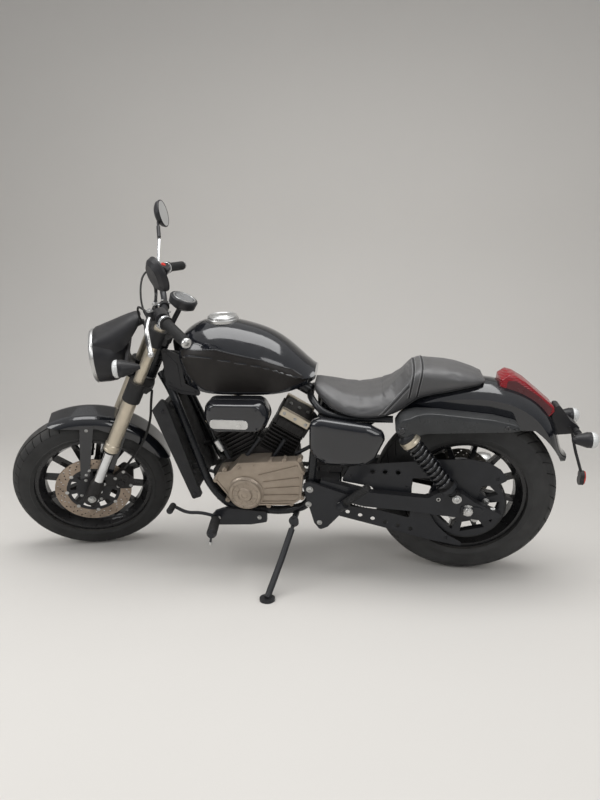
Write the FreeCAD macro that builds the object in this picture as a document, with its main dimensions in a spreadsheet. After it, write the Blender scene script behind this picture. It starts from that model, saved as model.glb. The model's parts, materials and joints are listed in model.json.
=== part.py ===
"""A cruiser motorcycle, leaning on its side stand with the bars turned left, in millimetres.

The bike is drawn upright and straight, forward along -X, left along -Y, with x = 0 at the rear
axle and the ground at z = 0. Each sub-part's Placement then leans it, and turns the front end.
"""
import FreeCAD, Part
import math
import os

import Sketcher

V = FreeCAD.Vector
ACROSS = V(0, 1, 0)
UP = V(0, 0, 1)
doc = FreeCAD.newDocument("Cruiser")

# Driving dimensions: alias, value, meaning
SIZES = [
    ("wheelbase", 1405, "axle to axle, bike upright"),
    ("lean", 11.5, "lean to the left on the side stand, degrees"),
    ("steer", 19.5, "bars turned to the left as parked, degrees"),
    ("rake", 27.15, "steering axis from the vertical, degrees"),
    ("trail", 115.3, "ground point of the axis ahead of the front contact"),
    ("front_radius", 299, "front tyre, outside"),
    ("front_crown", 60, "front tyre, half its width"),
    ("rear_radius", 323, "rear tyre, outside"),
    ("rear_crown", 75, "rear tyre, half its width"),
    ("front_wall", 96, "front tyre from its rim seat to its outside"),
    ("rear_wall", 120, "rear tyre from its rim seat to its outside"),
    ("lip_height", 12, "rim lip above the seat"),
    ("lip_wall", 7, "rim lip thickness"),
    ("rim_depth", 21, "rim ring below the seat"),
    ("front_rim_half", 38, "front rim, inside half width"),
    ("rear_rim_half", 46, "rear rim, inside half width"),
    ("spoke_count", 12, "cast spokes in each wheel"),
    ("spoke_width", 15, "a spoke seen from the side"),
    ("spoke_depth", 24, "a spoke across the wheel"),
    ("front_hub_radius", 36, "front hub barrel"),
    ("front_hub_half", 45, "front hub, half its length"),
    ("rear_hub_radius", 48, "rear hub barrel"),
    ("rear_hub_half", 60, "rear hub, half its length"),
    ("axle_radius", 10, "both axles"),
    ("axle_bore", 5, "hollow front axle, radius"),
    ("axle_play", 0.4, "running gap of a hub or pin on its axle"),
    ("disc_wall", 4.5, "brake disc thickness"),
    ("front_disc_radius", 140, "front brake disc"),
    ("front_disc_y", 62, "front disc plane from the centre"),
    ("rear_disc_radius", 115, "rear brake disc"),
    ("rear_disc_y", 95, "rear disc plane from the centre"),
    ("pad_gap", 5, "disc to caliper slot"),
    ("pulley_radius", 130, "rear belt pulley"),
    ("pulley_width", 24, "rear pulley across"),
    ("pulley_y", 98, "belt line from the centre"),
    ("front_pulley_radius", 50, "engine pulley under its cover"),
    ("belt_width", 22, "toothed belt across"),
    ("belt_wall", 5, "toothed belt thickness"),
    ("belt_gap", 0.8, "pulley to belt"),
    ("guard_wall", 4, "belt guard plate"),
    ("fork_spread", 95, "fork leg from the centre"),
    ("fork_offset", 33.8, "legs ahead of the steering axis"),
    ("stanchion_radius", 18.5, "bright lower tube"),
    ("slider_radius", 25, "thick champagne tube"),
    ("collar_radius", 28, "ring at the slider's end"),
    ("axle_clamp_radius", 25.5, "black foot of a leg"),
    ("boot_radius", 32, "lower clamp around a leg"),
    ("stem_radius", 17, "steering stem"),
    ("head_radius", 30, "steering head tube"),
    ("clamp_wall", 26, "triple clamp plate thickness"),
    ("fender_gap", 13, "front tyre to front fender"),
    ("fender_wall", 4, "fender sheet"),
    ("cradle_radius", 15, "cradle tube"),
    ("spine_radius", 22, "backbone tube"),
    ("rail_radius", 12, "seat rail tube"),
    ("arm_inner", 122, "swing arm, inner face from the centre"),
    ("arm_outer", 150, "swing arm, outer face from the centre"),
    ("pivot_x", -540, "swing arm pivot"),
    ("pivot_z", 385, "swing arm pivot height"),
    ("pivot_radius", 22, "swing arm pivot tube"),
    ("case_half", 80, "crankcase half width"),
    ("cover_out", 150, "engine covers, outer face"),
    ("crank_x", -730, "crankshaft"),
    ("crank_z", 380, "crankshaft height"),
    ("vee_half", 30, "half the angle between the cylinders, degrees"),
    ("cylinder_foot", 112, "crankshaft to cylinder foot"),
    ("cylinder_top", 215, "crankshaft to head joint"),
    ("head_top", 278, "crankshaft to top of the head cover"),
    ("shock_y", 165, "shock absorber from the centre"),
    ("spring_radius", 26, "shock spring, to the wire's centre"),
    ("wire_radius", 4.5, "shock spring wire"),
    ("spring_turns", 10, "shock spring coils"),
    ("bar_radius", 11, "handlebar tube"),
    ("grip_radius", 17, "rubber grip"),
    ("bar_reach", 380, "bar end from the centre"),
    ("bar_end_wall", 12, "bar end weight"),
    ("left_mirror_toe", 26, "left mirror turned to the rider, degrees"),
    ("right_mirror_toe", 14, "right mirror turned to the rider, degrees"),
    ("mirror_tilt", 0.2, "both mirrors tilted up, as a slope"),
    ("lamp_radius", 95, "headlamp shell"),
    ("lamp_back", 150, "headlamp centre behind the front axle"),
    ("lamp_up", 531, "headlamp centre above the front axle"),
    ("tank_half", 138, "fuel tank half width"),
    ("cap_radius", 52, "fuel cap"),
    ("tail_half", 95, "rear fender half width"),
    ("tail_gap", 20, "rear tyre to rear fender"),
    ("stand_x", -594, "side stand pivot"),
    ("stand_y", -182, "side stand pivot from the centre"),
    ("stand_z", 262, "side stand pivot height"),
    ("stand_foot_x", -664, "side stand foot"),
    ("stand_foot_out", 385, "side stand foot out from the wheels' line, on the ground"),
    ("stand_leg_radius", 11, "side stand leg"),
    ("stand_pad_radius", 26, "side stand foot pad"),
    ("stand_pad_wall", 9, "side stand foot pad thickness"),
    ("silencer_radius", 46, "silencer"),
    ("silencer_y", 214, "silencer from the centre"),
    ("spool_hole", 4, "threaded hole for a stand spool in each arm, radius"),
    ("rack_hole", 3, "threaded hole for a luggage rack in each rail, radius"),
    ("rack_depth", 20, "depth of the rack hole"),
    ("head_x", -1130.5, "steering axis behind the lamp, where the main frame's lengths are drawn to"),
    ("head_z", 760, "height of that point"),
    ("hose_radius", 4.5, "brake hose"),
    ("cable_radius", 3.5, "control cable"),
    ("seat_gap", 0.3, "gap where one sub-part seats on another"),
    ("joint_gap", 1.0, "gap at a bearing"),
]


def make_sheet():
    """The spreadsheet of driving dimensions, one row each."""
    sheet = doc.addObject("Spreadsheet::Sheet", "Sizes")
    for row, (alias, value, meaning) in enumerate(SIZES, start=1):
        sheet.set("A%d" % row, alias)
        sheet.set("B%d" % row, str(value))
        sheet.set("C%d" % row, meaning)
        sheet.setAlias("B%d" % row, alias)
    doc.recompute()
    return sheet


sheet = make_sheet()


class Size:
    """Reads a driving dimension by its name: size.wheelbase."""

    def __getattr__(self, alias):
        return float(sheet.get(alias))


size = Size()
REAR_AXLE = V(0, 0, size.rear_radius)
FRONT_AXLE = V(-size.wheelbase, 0, size.front_radius)
RAKE = math.radians(size.rake)
STEER_UP = V(math.sin(RAKE), 0, math.cos(RAKE))
STEER_BACK = V(math.cos(RAKE), 0, -math.sin(RAKE))
STEER_FOOT = V(-size.wheelbase - size.trail, 0, 0)
BAR_ALONG = 764.0
RAIL_OUT = 148.0
LONG = (STEER_FOOT.x + size.head_z * math.tan(RAKE)) / size.head_x


def on_fork(along, side=0.0, back=0.0):
    """A point given along the fork leg from the axle, across the bike, and behind the leg line."""
    return FRONT_AXLE + STEER_UP * along + STEER_BACK * back + ACROSS * side


def nose(x, y, z):
    """A point of the front end, given from the front axle."""
    return FRONT_AXLE + V(x, y, z)


def at(x, y, z):
    """A point of the main body. Ahead of the rear axle its place follows the steering head."""
    return V(x * LONG if x < 0 else x, y, z)


SPOOL = at(-100, 0, 360)
RACK = at(100, 0, 632)


def turn_about(point, axis, angle):
    """The placement that turns by an angle in degrees about an axis through a point."""
    return FreeCAD.Placement(V(), FreeCAD.Rotation(axis, angle), point)


def lowest(placement, centre, axis, radius, crown):
    """Height of a leaning tyre's lowest point."""
    tilt = placement.Rotation.multVec(axis)
    middle = placement.multVec(centre)
    return middle.z - (radius - crown) * math.sqrt(1 - tilt.z ** 2) - crown


def parked():
    """Placements of the main frame and of the front end, with both tyres and the stand down."""
    steer = turn_about(STEER_FOOT, STEER_UP, size.steer)
    lean = FreeCAD.Rotation(V(1, 0, 0), size.lean)
    pitch = 0.0
    for _ in range(8):
        main = FreeCAD.Placement(V(), lean * FreeCAD.Rotation(ACROSS, pitch))
        front = main * steer
        rear_low = lowest(main, REAR_AXLE, ACROSS, size.rear_radius, size.rear_crown)
        front_low = lowest(front, FRONT_AXLE, ACROSS, size.front_radius, size.front_crown)
        pitch -= math.degrees((front_low - rear_low) / size.wheelbase)
    lift = FreeCAD.Placement(V(0, 0, -rear_low), FreeCAD.Rotation())
    return lift * main, lift * front


MAIN, FRONT = parked()


def rounded(points):
    """Edges of a closed outline in XZ from (x, z) corners, or (x, z, radius) for a round corner."""
    corners = [(V(p[0], 0, p[1]), p[2] if len(p) > 2 else 0.0) for p in points]
    count = len(corners)
    starts, ends, arcs = [], [], []
    for i, (here, radius) in enumerate(corners):
        before = corners[i - 1][0]
        after = corners[(i + 1) % count][0]
        into = (before - here).normalize()
        away = (after - here).normalize()
        half = into.getAngle(away) / 2
        if radius == 0:
            starts.append(here)
            ends.append(here)
            arcs.append(None)
            continue
        cut = radius / math.tan(half)
        middle = here + (into + away).normalize() * (radius / math.sin(half) - radius)
        starts.append(here + into * cut)
        ends.append(here + away * cut)
        arcs.append(Part.Arc(starts[-1], middle, ends[-1]))
    edges = []
    for i in range(count):
        if arcs[i]:
            edges.append(arcs[i])
        first, last = ends[i], starts[(i + 1) % count]
        if first.distanceToPoint(last) > 0.01:
            edges.append(Part.LineSegment(first, last))
    return edges


def slab(points, y_from, y_to):
    """A solid with a rounded outline in XZ, between two planes across the bike."""
    wire = Part.Wire([edge.toShape() for edge in rounded(points)])
    face = Part.Face(wire)
    face.translate(V(0, y_from, 0))
    return face.extrude(V(0, y_to - y_from, 0))


def plank(points, y_from, y_to):
    """A slab of the main body, its outline following the steering head as at() does."""
    return slab([(at(p[0], 0, 0).x,) + tuple(p[1:]) for p in points], y_from, y_to)


def rod(start, end, radius, bore=0.0):
    """A round bar between two points, with an optional bore right through."""
    run = end - start
    solid = Part.makeCylinder(radius, run.Length, start, run)
    if bore:
        solid = solid.cut(Part.makeCylinder(bore, run.Length, start, run))
    return solid


def cone(start, end, radius_from, radius_to):
    """A tapered round bar between two points."""
    run = end - start
    if abs(radius_from - radius_to) < 0.01:
        return rod(start, end, radius_from)
    return Part.makeCone(radius_from, radius_to, run.Length, start, run)


def turned(start, direction, steps):
    """A turned piece: (distance, radius) steps along a direction from a start point."""
    pieces = []
    for (near, r_near), (far, r_far) in zip(steps, steps[1:]):
        if far - near < 0.01:
            continue
        pieces.append(cone(start + direction * near, start + direction * far, r_near, r_far))
    return fuse(pieces)


def bent(points, radius, bend=0.45):
    """A round tube through points, straight runs joined by tangent arcs."""
    edges = []
    last = points[0]
    for i in range(1, len(points) - 1):
        here = points[i]
        into = (points[i - 1] - here)
        away = (points[i + 1] - here)
        reach = bend * min(into.Length, away.Length)
        into.normalize()
        away.normalize()
        half = into.getAngle(away) / 2
        turn = reach * math.tan(half)
        first = here + into * reach
        final = here + away * reach
        middle = here + (into + away).normalize() * (turn / math.sin(half) - turn)
        edges.append(Part.LineSegment(last, first).toShape())
        edges.append(Part.Arc(first, middle, final).toShape())
        last = final
    edges.append(Part.LineSegment(last, points[-1]).toShape())
    start = points[1] - points[0]
    ring = Part.Wire([Part.makeCircle(radius, points[0], start)])
    return Part.Wire(edges).makePipeShell([ring], True, False)


def fuse(pieces):
    """One shape from overlapping pieces."""
    whole = pieces[0]
    if len(pieces) > 1:
        whole = pieces[0].multiFuse(pieces[1:])
    merged = whole.removeSplitter()
    return merged if merged.isValid() else whole


def both_sides(shape):
    """A left-hand shape with its mirror image on the right."""
    return Part.makeCompound([shape, shape.mirror(V(), ACROSS)])


def loft(sections):
    """A smooth body through section wires."""
    return Part.makeLoft(sections, True, False)


def crowned_section(x, half, foot_half, low, side, top):
    """A section across the bike: flat foot, straight flanks, round crown."""
    foot_left, foot_right = V(x, -foot_half, low), V(x, foot_half, low)
    side_left, side_right = V(x, -half, side), V(x, half, side)
    crown = Part.Arc(side_left, V(x, 0, top), side_right)
    return Part.Wire([
        Part.LineSegment(foot_right, foot_left).toShape(),
        Part.LineSegment(foot_left, side_left).toShape(),
        crown.toShape(),
        Part.LineSegment(side_right, foot_right).toShape(),
    ])


PARTS = []


def keep(obj, label, place):
    """Labels an object as a sub-part and gives it its Placement."""
    obj.Label = label
    obj.Placement = place * obj.Placement
    PARTS.append(obj)
    return obj


def feature(label, shape, place, clear_of=()):
    """A sub-part from a finished shape, cut back where it would enter its neighbours."""
    for other in clear_of:
        shape = shape.cut(other)
    solids = shape.Solids
    whole = solids[0] if len(solids) == 1 else Part.makeCompound(solids)
    obj = doc.addObject("Part::Feature", label)
    obj.Shape = whole
    return keep(obj, label, place)


def standing(label, place):
    """A finished sub-part's shape, back in the upright bike's own frame."""
    shape = doc.getObject(label).Shape.copy()
    shape.Placement = place.inverse() * shape.Placement
    return shape


def origin_of(body, role):
    """The origin plane or axis of a body with this role."""
    return [item for item in body.Origin.OriginFeatures if item.Role == role][0]


def sketch_on(body, plane, name):
    """A sketch attached to one of the body's own origin planes."""
    sketch = body.newObject("Sketcher::SketchObject", name)
    sketch.AttachmentSupport = (origin_of(body, plane), [""])
    sketch.MapMode = "FlatFace"
    return sketch


def polygon(sketch, points):
    """Adds a closed polygon to a sketch, its corners joined by constraints."""
    first = sketch.GeometryCount
    count = len(points)
    for i in range(count):
        start, end = points[i], points[(i + 1) % count]
        sketch.addGeometry(Part.LineSegment(V(start[0], start[1], 0), V(end[0], end[1], 0)))
    for i in range(count):
        sketch.addConstraint(
            Sketcher.Constraint("Coincident", first + i, 2, first + (i + 1) % count, 1))


def circle(sketch, radius, expression):
    """Adds a circle about the sketch's origin, its radius bound to the sheet."""
    index = sketch.addGeometry(Part.Circle(V(), V(0, 0, 1), radius))
    sketch.addConstraint(Sketcher.Constraint("Coincident", index, 3, -1, 1))
    row = sketch.addConstraint(Sketcher.Constraint("Radius", index, radius))
    sketch.setExpression("Constraints[%d]" % row, expression)


def revolve(body, sketch):
    """Turns a sketch in XY a full turn about the Y axis."""
    turn = body.newObject("PartDesign::Revolution", sketch.Name + "Turn")
    turn.Profile = sketch
    turn.ReferenceAxis = (sketch, ["V_Axis"])
    turn.Angle = 360
    sketch.Visibility = False
    return turn


def pad(body, sketch, length, midplane=False, reverse=False):
    """Pads a sketch by an expression."""
    block = body.newObject("PartDesign::Pad", sketch.Name + "Pad")
    block.Profile = sketch
    block.SideType = "Symmetric" if midplane else "One side"
    block.Reversed = reverse
    block.setExpression("Length", length)
    return block


def around(body, feature_in, count):
    """Repeats a feature about the body's Y axis."""
    pattern = body.newObject("PartDesign::PolarPattern", feature_in.Name + "Ring")
    pattern.Originals = [feature_in]
    pattern.Axis = (origin_of(body, "Y_Axis"), [""])
    pattern.Angle = 360
    if isinstance(count, str):
        pattern.setExpression("Occurrences", count)
    else:
        pattern.Occurrences = count
    body.Tip = pattern
    return pattern


# Wheels


def tyre(label, radius, wall, crown, rim_half, axle, place):
    """A tyre: round crown, flanks down to the rim lips, and the bead seat between them."""
    body = doc.addObject("PartDesign::Body", label)
    sketch = sketch_on(body, "XY_Plane", label + "Section")
    bead = radius - wall
    lip = bead + size.lip_height
    middle = radius - crown
    half = math.sqrt(crown ** 2 - (middle - lip) ** 2)
    gap = size.seat_gap
    crown_arc = Part.Arc(V(lip + gap, -half, 0), V(radius, 0, 0), V(lip + gap, half, 0))
    corners = [(lip + gap, half), (lip + gap, rim_half), (bead, rim_half),
               (bead, -rim_half), (lip + gap, -rim_half), (lip + gap, -half)]
    sketch.addGeometry(crown_arc)
    for start, end in zip(corners, corners[1:]):
        sketch.addGeometry(Part.LineSegment(V(start[0], start[1], 0), V(end[0], end[1], 0)))
    revolve(body, sketch)
    keep(body, label, place * FreeCAD.Placement(axle, FreeCAD.Rotation()))


def cast_wheel(label, bead, rim_half, hub_radius, hub_half, bosses, offset, axle, place):
    """A cast wheel: hub barrel with its bosses, a ring of spokes, and the rim with its lips."""
    body = doc.addObject("PartDesign::Body", label)
    bore = size.axle_radius + size.axle_play
    hub = sketch_on(body, "XY_Plane", label + "HubSection")
    outline = [(bore, -hub_half), (hub_radius, -hub_half), (hub_radius, hub_half), (bore, hub_half)]
    for side, boss_radius, reach in bosses:
        if side < 0:
            outline[0:2] = [(bore, -reach), (boss_radius, -reach),
                            (boss_radius, -hub_half * 0.5), (hub_radius, -hub_half * 0.5)]
        else:
            outline[-2:] = [(hub_radius, hub_half * 0.5), (boss_radius, hub_half * 0.5),
                            (boss_radius, reach), (bore, reach)]
    polygon(hub, outline)
    revolve(body, hub)
    inner = bead - size.rim_depth
    spoke = sketch_on(body, "XZ_Plane", label + "SpokeSection")
    half_width = size.spoke_width / 2
    polygon(spoke, [(hub_radius - 4, -half_width * 1.5), (inner + 5, -half_width),
                    (inner + 5, half_width), (hub_radius - 4, half_width * 1.5)])
    arm = pad(body, spoke, "Sizes.spoke_depth", midplane=True)
    doc.recompute()
    around(body, arm, "Sizes.spoke_count")
    doc.recompute()
    rim = sketch_on(body, "XY_Plane", label + "RimSection")
    edge = rim_half + size.lip_wall
    lip = bead + size.lip_height
    polygon(rim, [(lip, -edge), (lip, -rim_half), (bead, -rim_half),
                  (bead, rim_half), (lip, rim_half), (lip, edge),
                  (bead - 2, edge), (inner, rim_half * 0.45),
                  (inner, -rim_half * 0.45), (bead - 2, -edge)])
    revolve(body, rim)
    turn = FreeCAD.Placement(axle, FreeCAD.Rotation(ACROSS, offset))
    keep(body, label, place * turn)


def windowed_disc(label, radius, width, bore, windows, offset, turn, axle, place):
    """A flat round piece with windows: (inner radius, outer radius, count, share open)."""
    body = doc.addObject("PartDesign::Body", label)
    face = sketch_on(body, "XZ_Plane", label + "Face")
    circle(face, float(radius[1]), radius[0])
    bore_index = face.addGeometry(Part.Circle(V(), V(0, 0, 1), bore))
    face.addConstraint(Sketcher.Constraint("Coincident", bore_index, 3, -1, 1))
    face.addConstraint(Sketcher.Constraint("Radius", bore_index, bore))
    pad(body, face, width, midplane=True)
    doc.recompute()
    inner, outer, count, share = windows
    window = sketch_on(body, "XZ_Plane", label + "Window")
    half = math.pi / count * share
    near = inner * math.tan(half)
    far = outer * math.tan(half)
    polygon(window, [(inner, -near), (outer, -far), (outer, far), (inner, near)])
    pocket = body.newObject("PartDesign::Pocket", label + "WindowCut")
    pocket.Profile = window
    pocket.Type = "ThroughAll"
    pocket.Midplane = True
    doc.recompute()
    around(body, pocket, count)
    where = FreeCAD.Placement(axle + ACROSS * offset, FreeCAD.Rotation(ACROSS, turn))
    keep(body, label, place * where)


def make_wheels():
    """Both wheels with tyres, discs and the belt pulley."""
    tyre("front_tyre", size.front_radius, size.front_wall, size.front_crown, size.front_rim_half,
         FRONT_AXLE, FRONT)
    tyre("rear_tyre", size.rear_radius, size.rear_wall, size.rear_crown, size.rear_rim_half,
         REAR_AXLE, MAIN)
    half_disc = size.disc_wall / 2
    cast_wheel("front_rim", size.front_radius - size.front_wall, size.front_rim_half,
               size.front_hub_radius, size.front_hub_half,
               [(-1, 46, size.front_disc_y - half_disc)], -16, FRONT_AXLE, FRONT)
    cast_wheel("rear_rim", size.rear_radius - size.rear_wall, size.rear_rim_half,
               size.rear_hub_radius, size.rear_hub_half,
               [(-1, 62, size.pulley_y - size.pulley_width / 2),
                (1, 52, size.rear_disc_y - half_disc)], -20, REAR_AXLE, MAIN)
    bore = size.axle_radius + size.axle_play
    windowed_disc("front_disc", ("Sizes.front_disc_radius", size.front_disc_radius),
                  "Sizes.disc_wall", bore, (60, 98, 8, 0.72), -size.front_disc_y, 10,
                  FRONT_AXLE, FRONT)
    windowed_disc("rear_disc", ("Sizes.rear_disc_radius", size.rear_disc_radius),
                  "Sizes.disc_wall", bore, (60, 82, 6, 0.7), size.rear_disc_y, 0, REAR_AXLE, MAIN)
    windowed_disc("rear_pulley", ("Sizes.pulley_radius", size.pulley_radius),
                  "Sizes.pulley_width", bore, (68, 104, 6, 0.74), -size.pulley_y, 15,
                  REAR_AXLE, MAIN)


def make_axles():
    """The rear axle with its nuts and spacers, and the hollow front axle."""
    gap = size.joint_gap
    radius = size.axle_radius
    spacer = radius + 6
    end = size.arm_outer
    rear = [rod(REAR_AXLE - ACROSS * (end + 14), REAR_AXLE + ACROSS * (end + 14), radius),
            rod(REAR_AXLE - ACROSS * (end + 10), REAR_AXLE - ACROSS * end, spacer),
            rod(REAR_AXLE + ACROSS * end, REAR_AXLE + ACROSS * (end + 10), spacer),
            rod(REAR_AXLE - ACROSS * size.arm_inner,
                REAR_AXLE - ACROSS * (size.pulley_y + size.pulley_width / 2 + gap), spacer),
            rod(REAR_AXLE + ACROSS * (size.rear_disc_y + size.disc_wall / 2 + gap),
                REAR_AXLE + ACROSS * size.arm_inner, spacer)]
    feature("rear_axle", fuse(rear), MAIN)
    reach = size.fork_spread + size.axle_clamp_radius
    inner = size.fork_spread - size.axle_clamp_radius
    front = [rod(FRONT_AXLE - ACROSS * (reach + 6), FRONT_AXLE + ACROSS * (reach + 6), radius),
             rod(FRONT_AXLE + ACROSS * (size.front_hub_half + gap), FRONT_AXLE + ACROSS * inner,
                 spacer)]
    shape = fuse(front).cut(rod(FRONT_AXLE - ACROSS * (reach + 10),
                                FRONT_AXLE + ACROSS * (reach + 10), size.axle_bore))
    feature("front_axle", shape, FRONT)


# Front end


def fork_legs():
    """Two legs: black foot at the axle, thin tube, ring, thick tube and thin upper tube."""
    legs = []
    for side in (-size.fork_spread, size.fork_spread):
        base = on_fork(0, side)
        profile = [(-34, size.axle_clamp_radius), (74, size.axle_clamp_radius)]
        foot = turned(base, STEER_UP, profile)
        thin = rod(base + STEER_UP * 60, base + STEER_UP * 225, size.stanchion_radius)
        ring = rod(base + STEER_UP * 215, base + STEER_UP * 248, size.collar_radius)
        thick = rod(base + STEER_UP * 215, base + STEER_UP * 446, size.slider_radius)
        upper = rod(base + STEER_UP * 440, base + STEER_UP * 738, size.stanchion_radius)
        leg = fuse([foot, thin, ring, thick, upper])
        legs.append(leg.cut(rod(FRONT_AXLE - ACROSS * 200, FRONT_AXLE + ACROSS * 200,
                                size.axle_radius)))
    return Part.makeCompound(legs)


def clamp_plate(low, high, half_length, front, back):
    """A triple clamp plate square to the steering axis."""
    corners = [(-half_length, front), (half_length, front), (half_length, back - 20),
               (50, back), (-50, back), (-half_length, back - 20)]
    points = [on_fork(low, side, depth) for side, depth in corners]
    edges = [Part.LineSegment(a, b).toShape() for a, b in zip(points, points[1:] + points[:1])]
    return Part.Face(Part.Wire(edges)).extrude(STEER_UP * (high - low))


def make_front_end():
    """Fork, clamps, front fender, caliper, bars, mirrors, lamp and instrument."""
    legs = fork_legs()
    feature("fork_legs", legs, FRONT)
    spread = size.fork_spread
    boots = [rod(on_fork(440, side), on_fork(518, side), size.boot_radius)
             for side in (-spread, spread)]
    tops = [rod(on_fork(668, side), on_fork(726, side), size.boot_radius - 5)
            for side in (-spread, spread)]
    lower = clamp_plate(480, 480 + size.clamp_wall, spread, -22, 62)
    upper = clamp_plate(676, 676 + size.clamp_wall, spread, -20, 60)
    stem = rod(on_fork(482, 0, size.fork_offset), on_fork(712, 0, size.fork_offset),
               size.stem_radius)
    risers = [rod(on_fork(700, side, 4), on_fork(BAR_ALONG - size.bar_radius - size.seat_gap, side, 4),
                  15) for side in (-42, 42)]
    clamps = fuse(boots + tops + [lower, upper, stem] + risers).cut(legs)
    feature("fork_clamps", clamps, FRONT)

    # Fender over the front tyre, its ends cut to a slant
    inner = size.front_radius + size.fender_gap
    outer = inner + size.fender_wall
    inside = size.front_crown + 7
    outside = inside + size.fender_wall
    skirt = 50

    def arch(radius, half, skirt_radius):
        """A round-shouldered ring about the front axle."""
        shoulder = 38
        corner = shoulder * (1 - math.sqrt(0.5))
        section = [Part.LineSegment(V(skirt_radius, 0, 0), V(skirt_radius, half, 0)),
                   Part.LineSegment(V(skirt_radius, half, 0), V(radius - shoulder, half, 0)),
                   Part.Arc(V(radius - shoulder, half, 0), V(radius - corner, half - corner, 0),
                            V(radius, half - shoulder, 0)),
                   Part.LineSegment(V(radius, half - shoulder, 0),
                                    V(radius, shoulder - half, 0)),
                   Part.Arc(V(radius, shoulder - half, 0), V(radius - corner, corner - half, 0),
                            V(radius - shoulder, -half, 0)),
                   Part.LineSegment(V(radius - shoulder, -half, 0), V(skirt_radius, -half, 0)),
                   Part.LineSegment(V(skirt_radius, -half, 0), V(skirt_radius, 0, 0))]
        face = Part.Face(Part.Wire([edge.toShape() for edge in section]))
        ring = face.revolve(V(), ACROSS, 360)
        ring.translate(FRONT_AXLE)
        return ring

    ax, az = FRONT_AXLE.x, FRONT_AXLE.z
    shell = arch(outer, outside, outer - skirt).cut(arch(inner, inside, outer - skirt - 20))
    cutter = slab([(ax - 112, az + 290), (ax - 86, az + 345), (ax + 120, az + 420),
                   (ax + 420, az + 120), (ax + 300, az + 95), (ax + 262, az + 118),
                   (ax + 180, az + 205), (ax + 60, az + 272)], -90, 90)
    shell = shell.common(cutter)
    strut_y = size.front_disc_y + size.disc_wall / 2 + 5
    struts = []
    for side in (-1, 1):
        y_in, y_out = side * strut_y, side * (strut_y + 4)
        struts.append(slab([(ax + 4, az + 292), (ax + 52, az + 288), (ax - 2, az + 70),
                            (ax - 36, az + 62)], y_in, y_out))
        struts.append(slab([(ax + 118, az + 262), (ax + 160, az + 236), (ax + 72, az + 48),
                            (ax + 38, az + 62)], y_in, y_out))
    struts = [piece.cut(legs) for piece in struts]
    feature("front_fender", fuse([shell] + struts), FRONT, [legs])

    caliper = slab([(ax + 92, az + 12, 12), (ax + 150, az + 6, 14), (ax + 156, az + 58, 14),
                    (ax + 128, az + 98, 12), (ax + 84, az + 66, 10)], -92, -38)
    bracket = slab([(ax + 30, az + 30), (ax + 100, az + 20), (ax + 100, az + 70),
                    (ax + 50, az + 92)], -90, -80)
    slot = size.disc_wall / 2 + size.pad_gap
    blade = rod(FRONT_AXLE - ACROSS * (size.front_disc_y + slot),
                FRONT_AXLE - ACROSS * (size.front_disc_y - slot),
                size.front_disc_radius + size.pad_gap)
    caliper = fuse([caliper, bracket]).cut(blade)
    feature("front_caliper", caliper, FRONT, [legs, struts[0], struts[1]])
    make_bars()
    make_lamp(clamps, legs)
    make_instrument(clamps)
    make_hoses()


def bar_points(side):
    """Centre line of one half of the handlebar, from the clamp out to the end."""
    middle = on_fork(BAR_ALONG, 0, 4)
    return [V(middle.x, 0, middle.z), V(middle.x, side * 95, middle.z),
            nose(343, side * 165, 747), nose(359, side * 258, 745),
            nose(421, side * (size.bar_reach - size.bar_end_wall), 715)]


def make_bars():
    """Handlebar, grips, switch housings with levers, and mirrors."""
    left = bar_points(-1)
    right = bar_points(1)
    tube = bent(left[::-1][:-1] + right[1:], size.bar_radius)
    feature("handlebar", tube, FRONT)
    grips, controls, mirrors = [], [], []
    for side in (-1, 1):
        points = bar_points(side)
        run = points[4] - points[3]
        along = V(run).normalize()
        inner = points[3] + along * 18
        end = points[4]
        sleeve = rod(inner, end, size.grip_radius).cut(rod(inner, end, size.bar_radius))
        cap = turned(end, along, [(0, size.grip_radius - 2), (size.bar_end_wall, 14)])
        flange = rod(inner, inner + along * 5, size.grip_radius + 5).cut(
            rod(inner, end, size.bar_radius))
        grips.append(fuse([sleeve, flange, cap]).cut(tube))
        pivot = nose(321, side * 222, 749)
        tip = nose(318, side * 362, 683)
        housing_from = points[2] + (points[3] - points[2]) * 0.42
        housing_to = points[2] + (points[3] - points[2]) * 0.98
        housing = rod(housing_from, housing_to, 21)
        perch = rod(housing_from + (housing_to - housing_from) * 0.4, pivot, 11)
        knuckle = rod(pivot - UP * 14, pivot + UP * 14, 14)
        lever = bent([pivot, nose(307, side * 258, 737), nose(311, side * 318, 709), tip], 7)
        ball = Part.makeSphere(9.5, tip)
        controls.append(fuse([housing, perch, knuckle, lever, ball]).cut(tube))
        foot = nose(339, side * 186, 773)
        stalk = bent([nose(342, side * 190, 749), foot, nose(353, side * 262, 851),
                      nose(353, side * 330, 897), nose(359, side * 350, 913)], 5)
        toe = math.radians(size.left_mirror_toe if side < 0 else size.right_mirror_toe)
        face_axis = V(math.cos(toe), -side * math.sin(toe), size.mirror_tilt).normalize()
        centre = nose(355, side * 368, 917) + face_axis * 8
        head = turned(centre - face_axis * 10, face_axis,
                      [(0, 34), (9, 46), (20, 50), (24, 50)])
        mirrors.append(fuse([stalk.cut(housing).cut(tube), head]))
    feature("grips", Part.makeCompound(grips), FRONT)
    feature("hand_controls", Part.makeCompound(controls), FRONT)
    feature("mirrors", Part.makeCompound(mirrors), FRONT,
            [Part.makeCompound(controls)])


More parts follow.
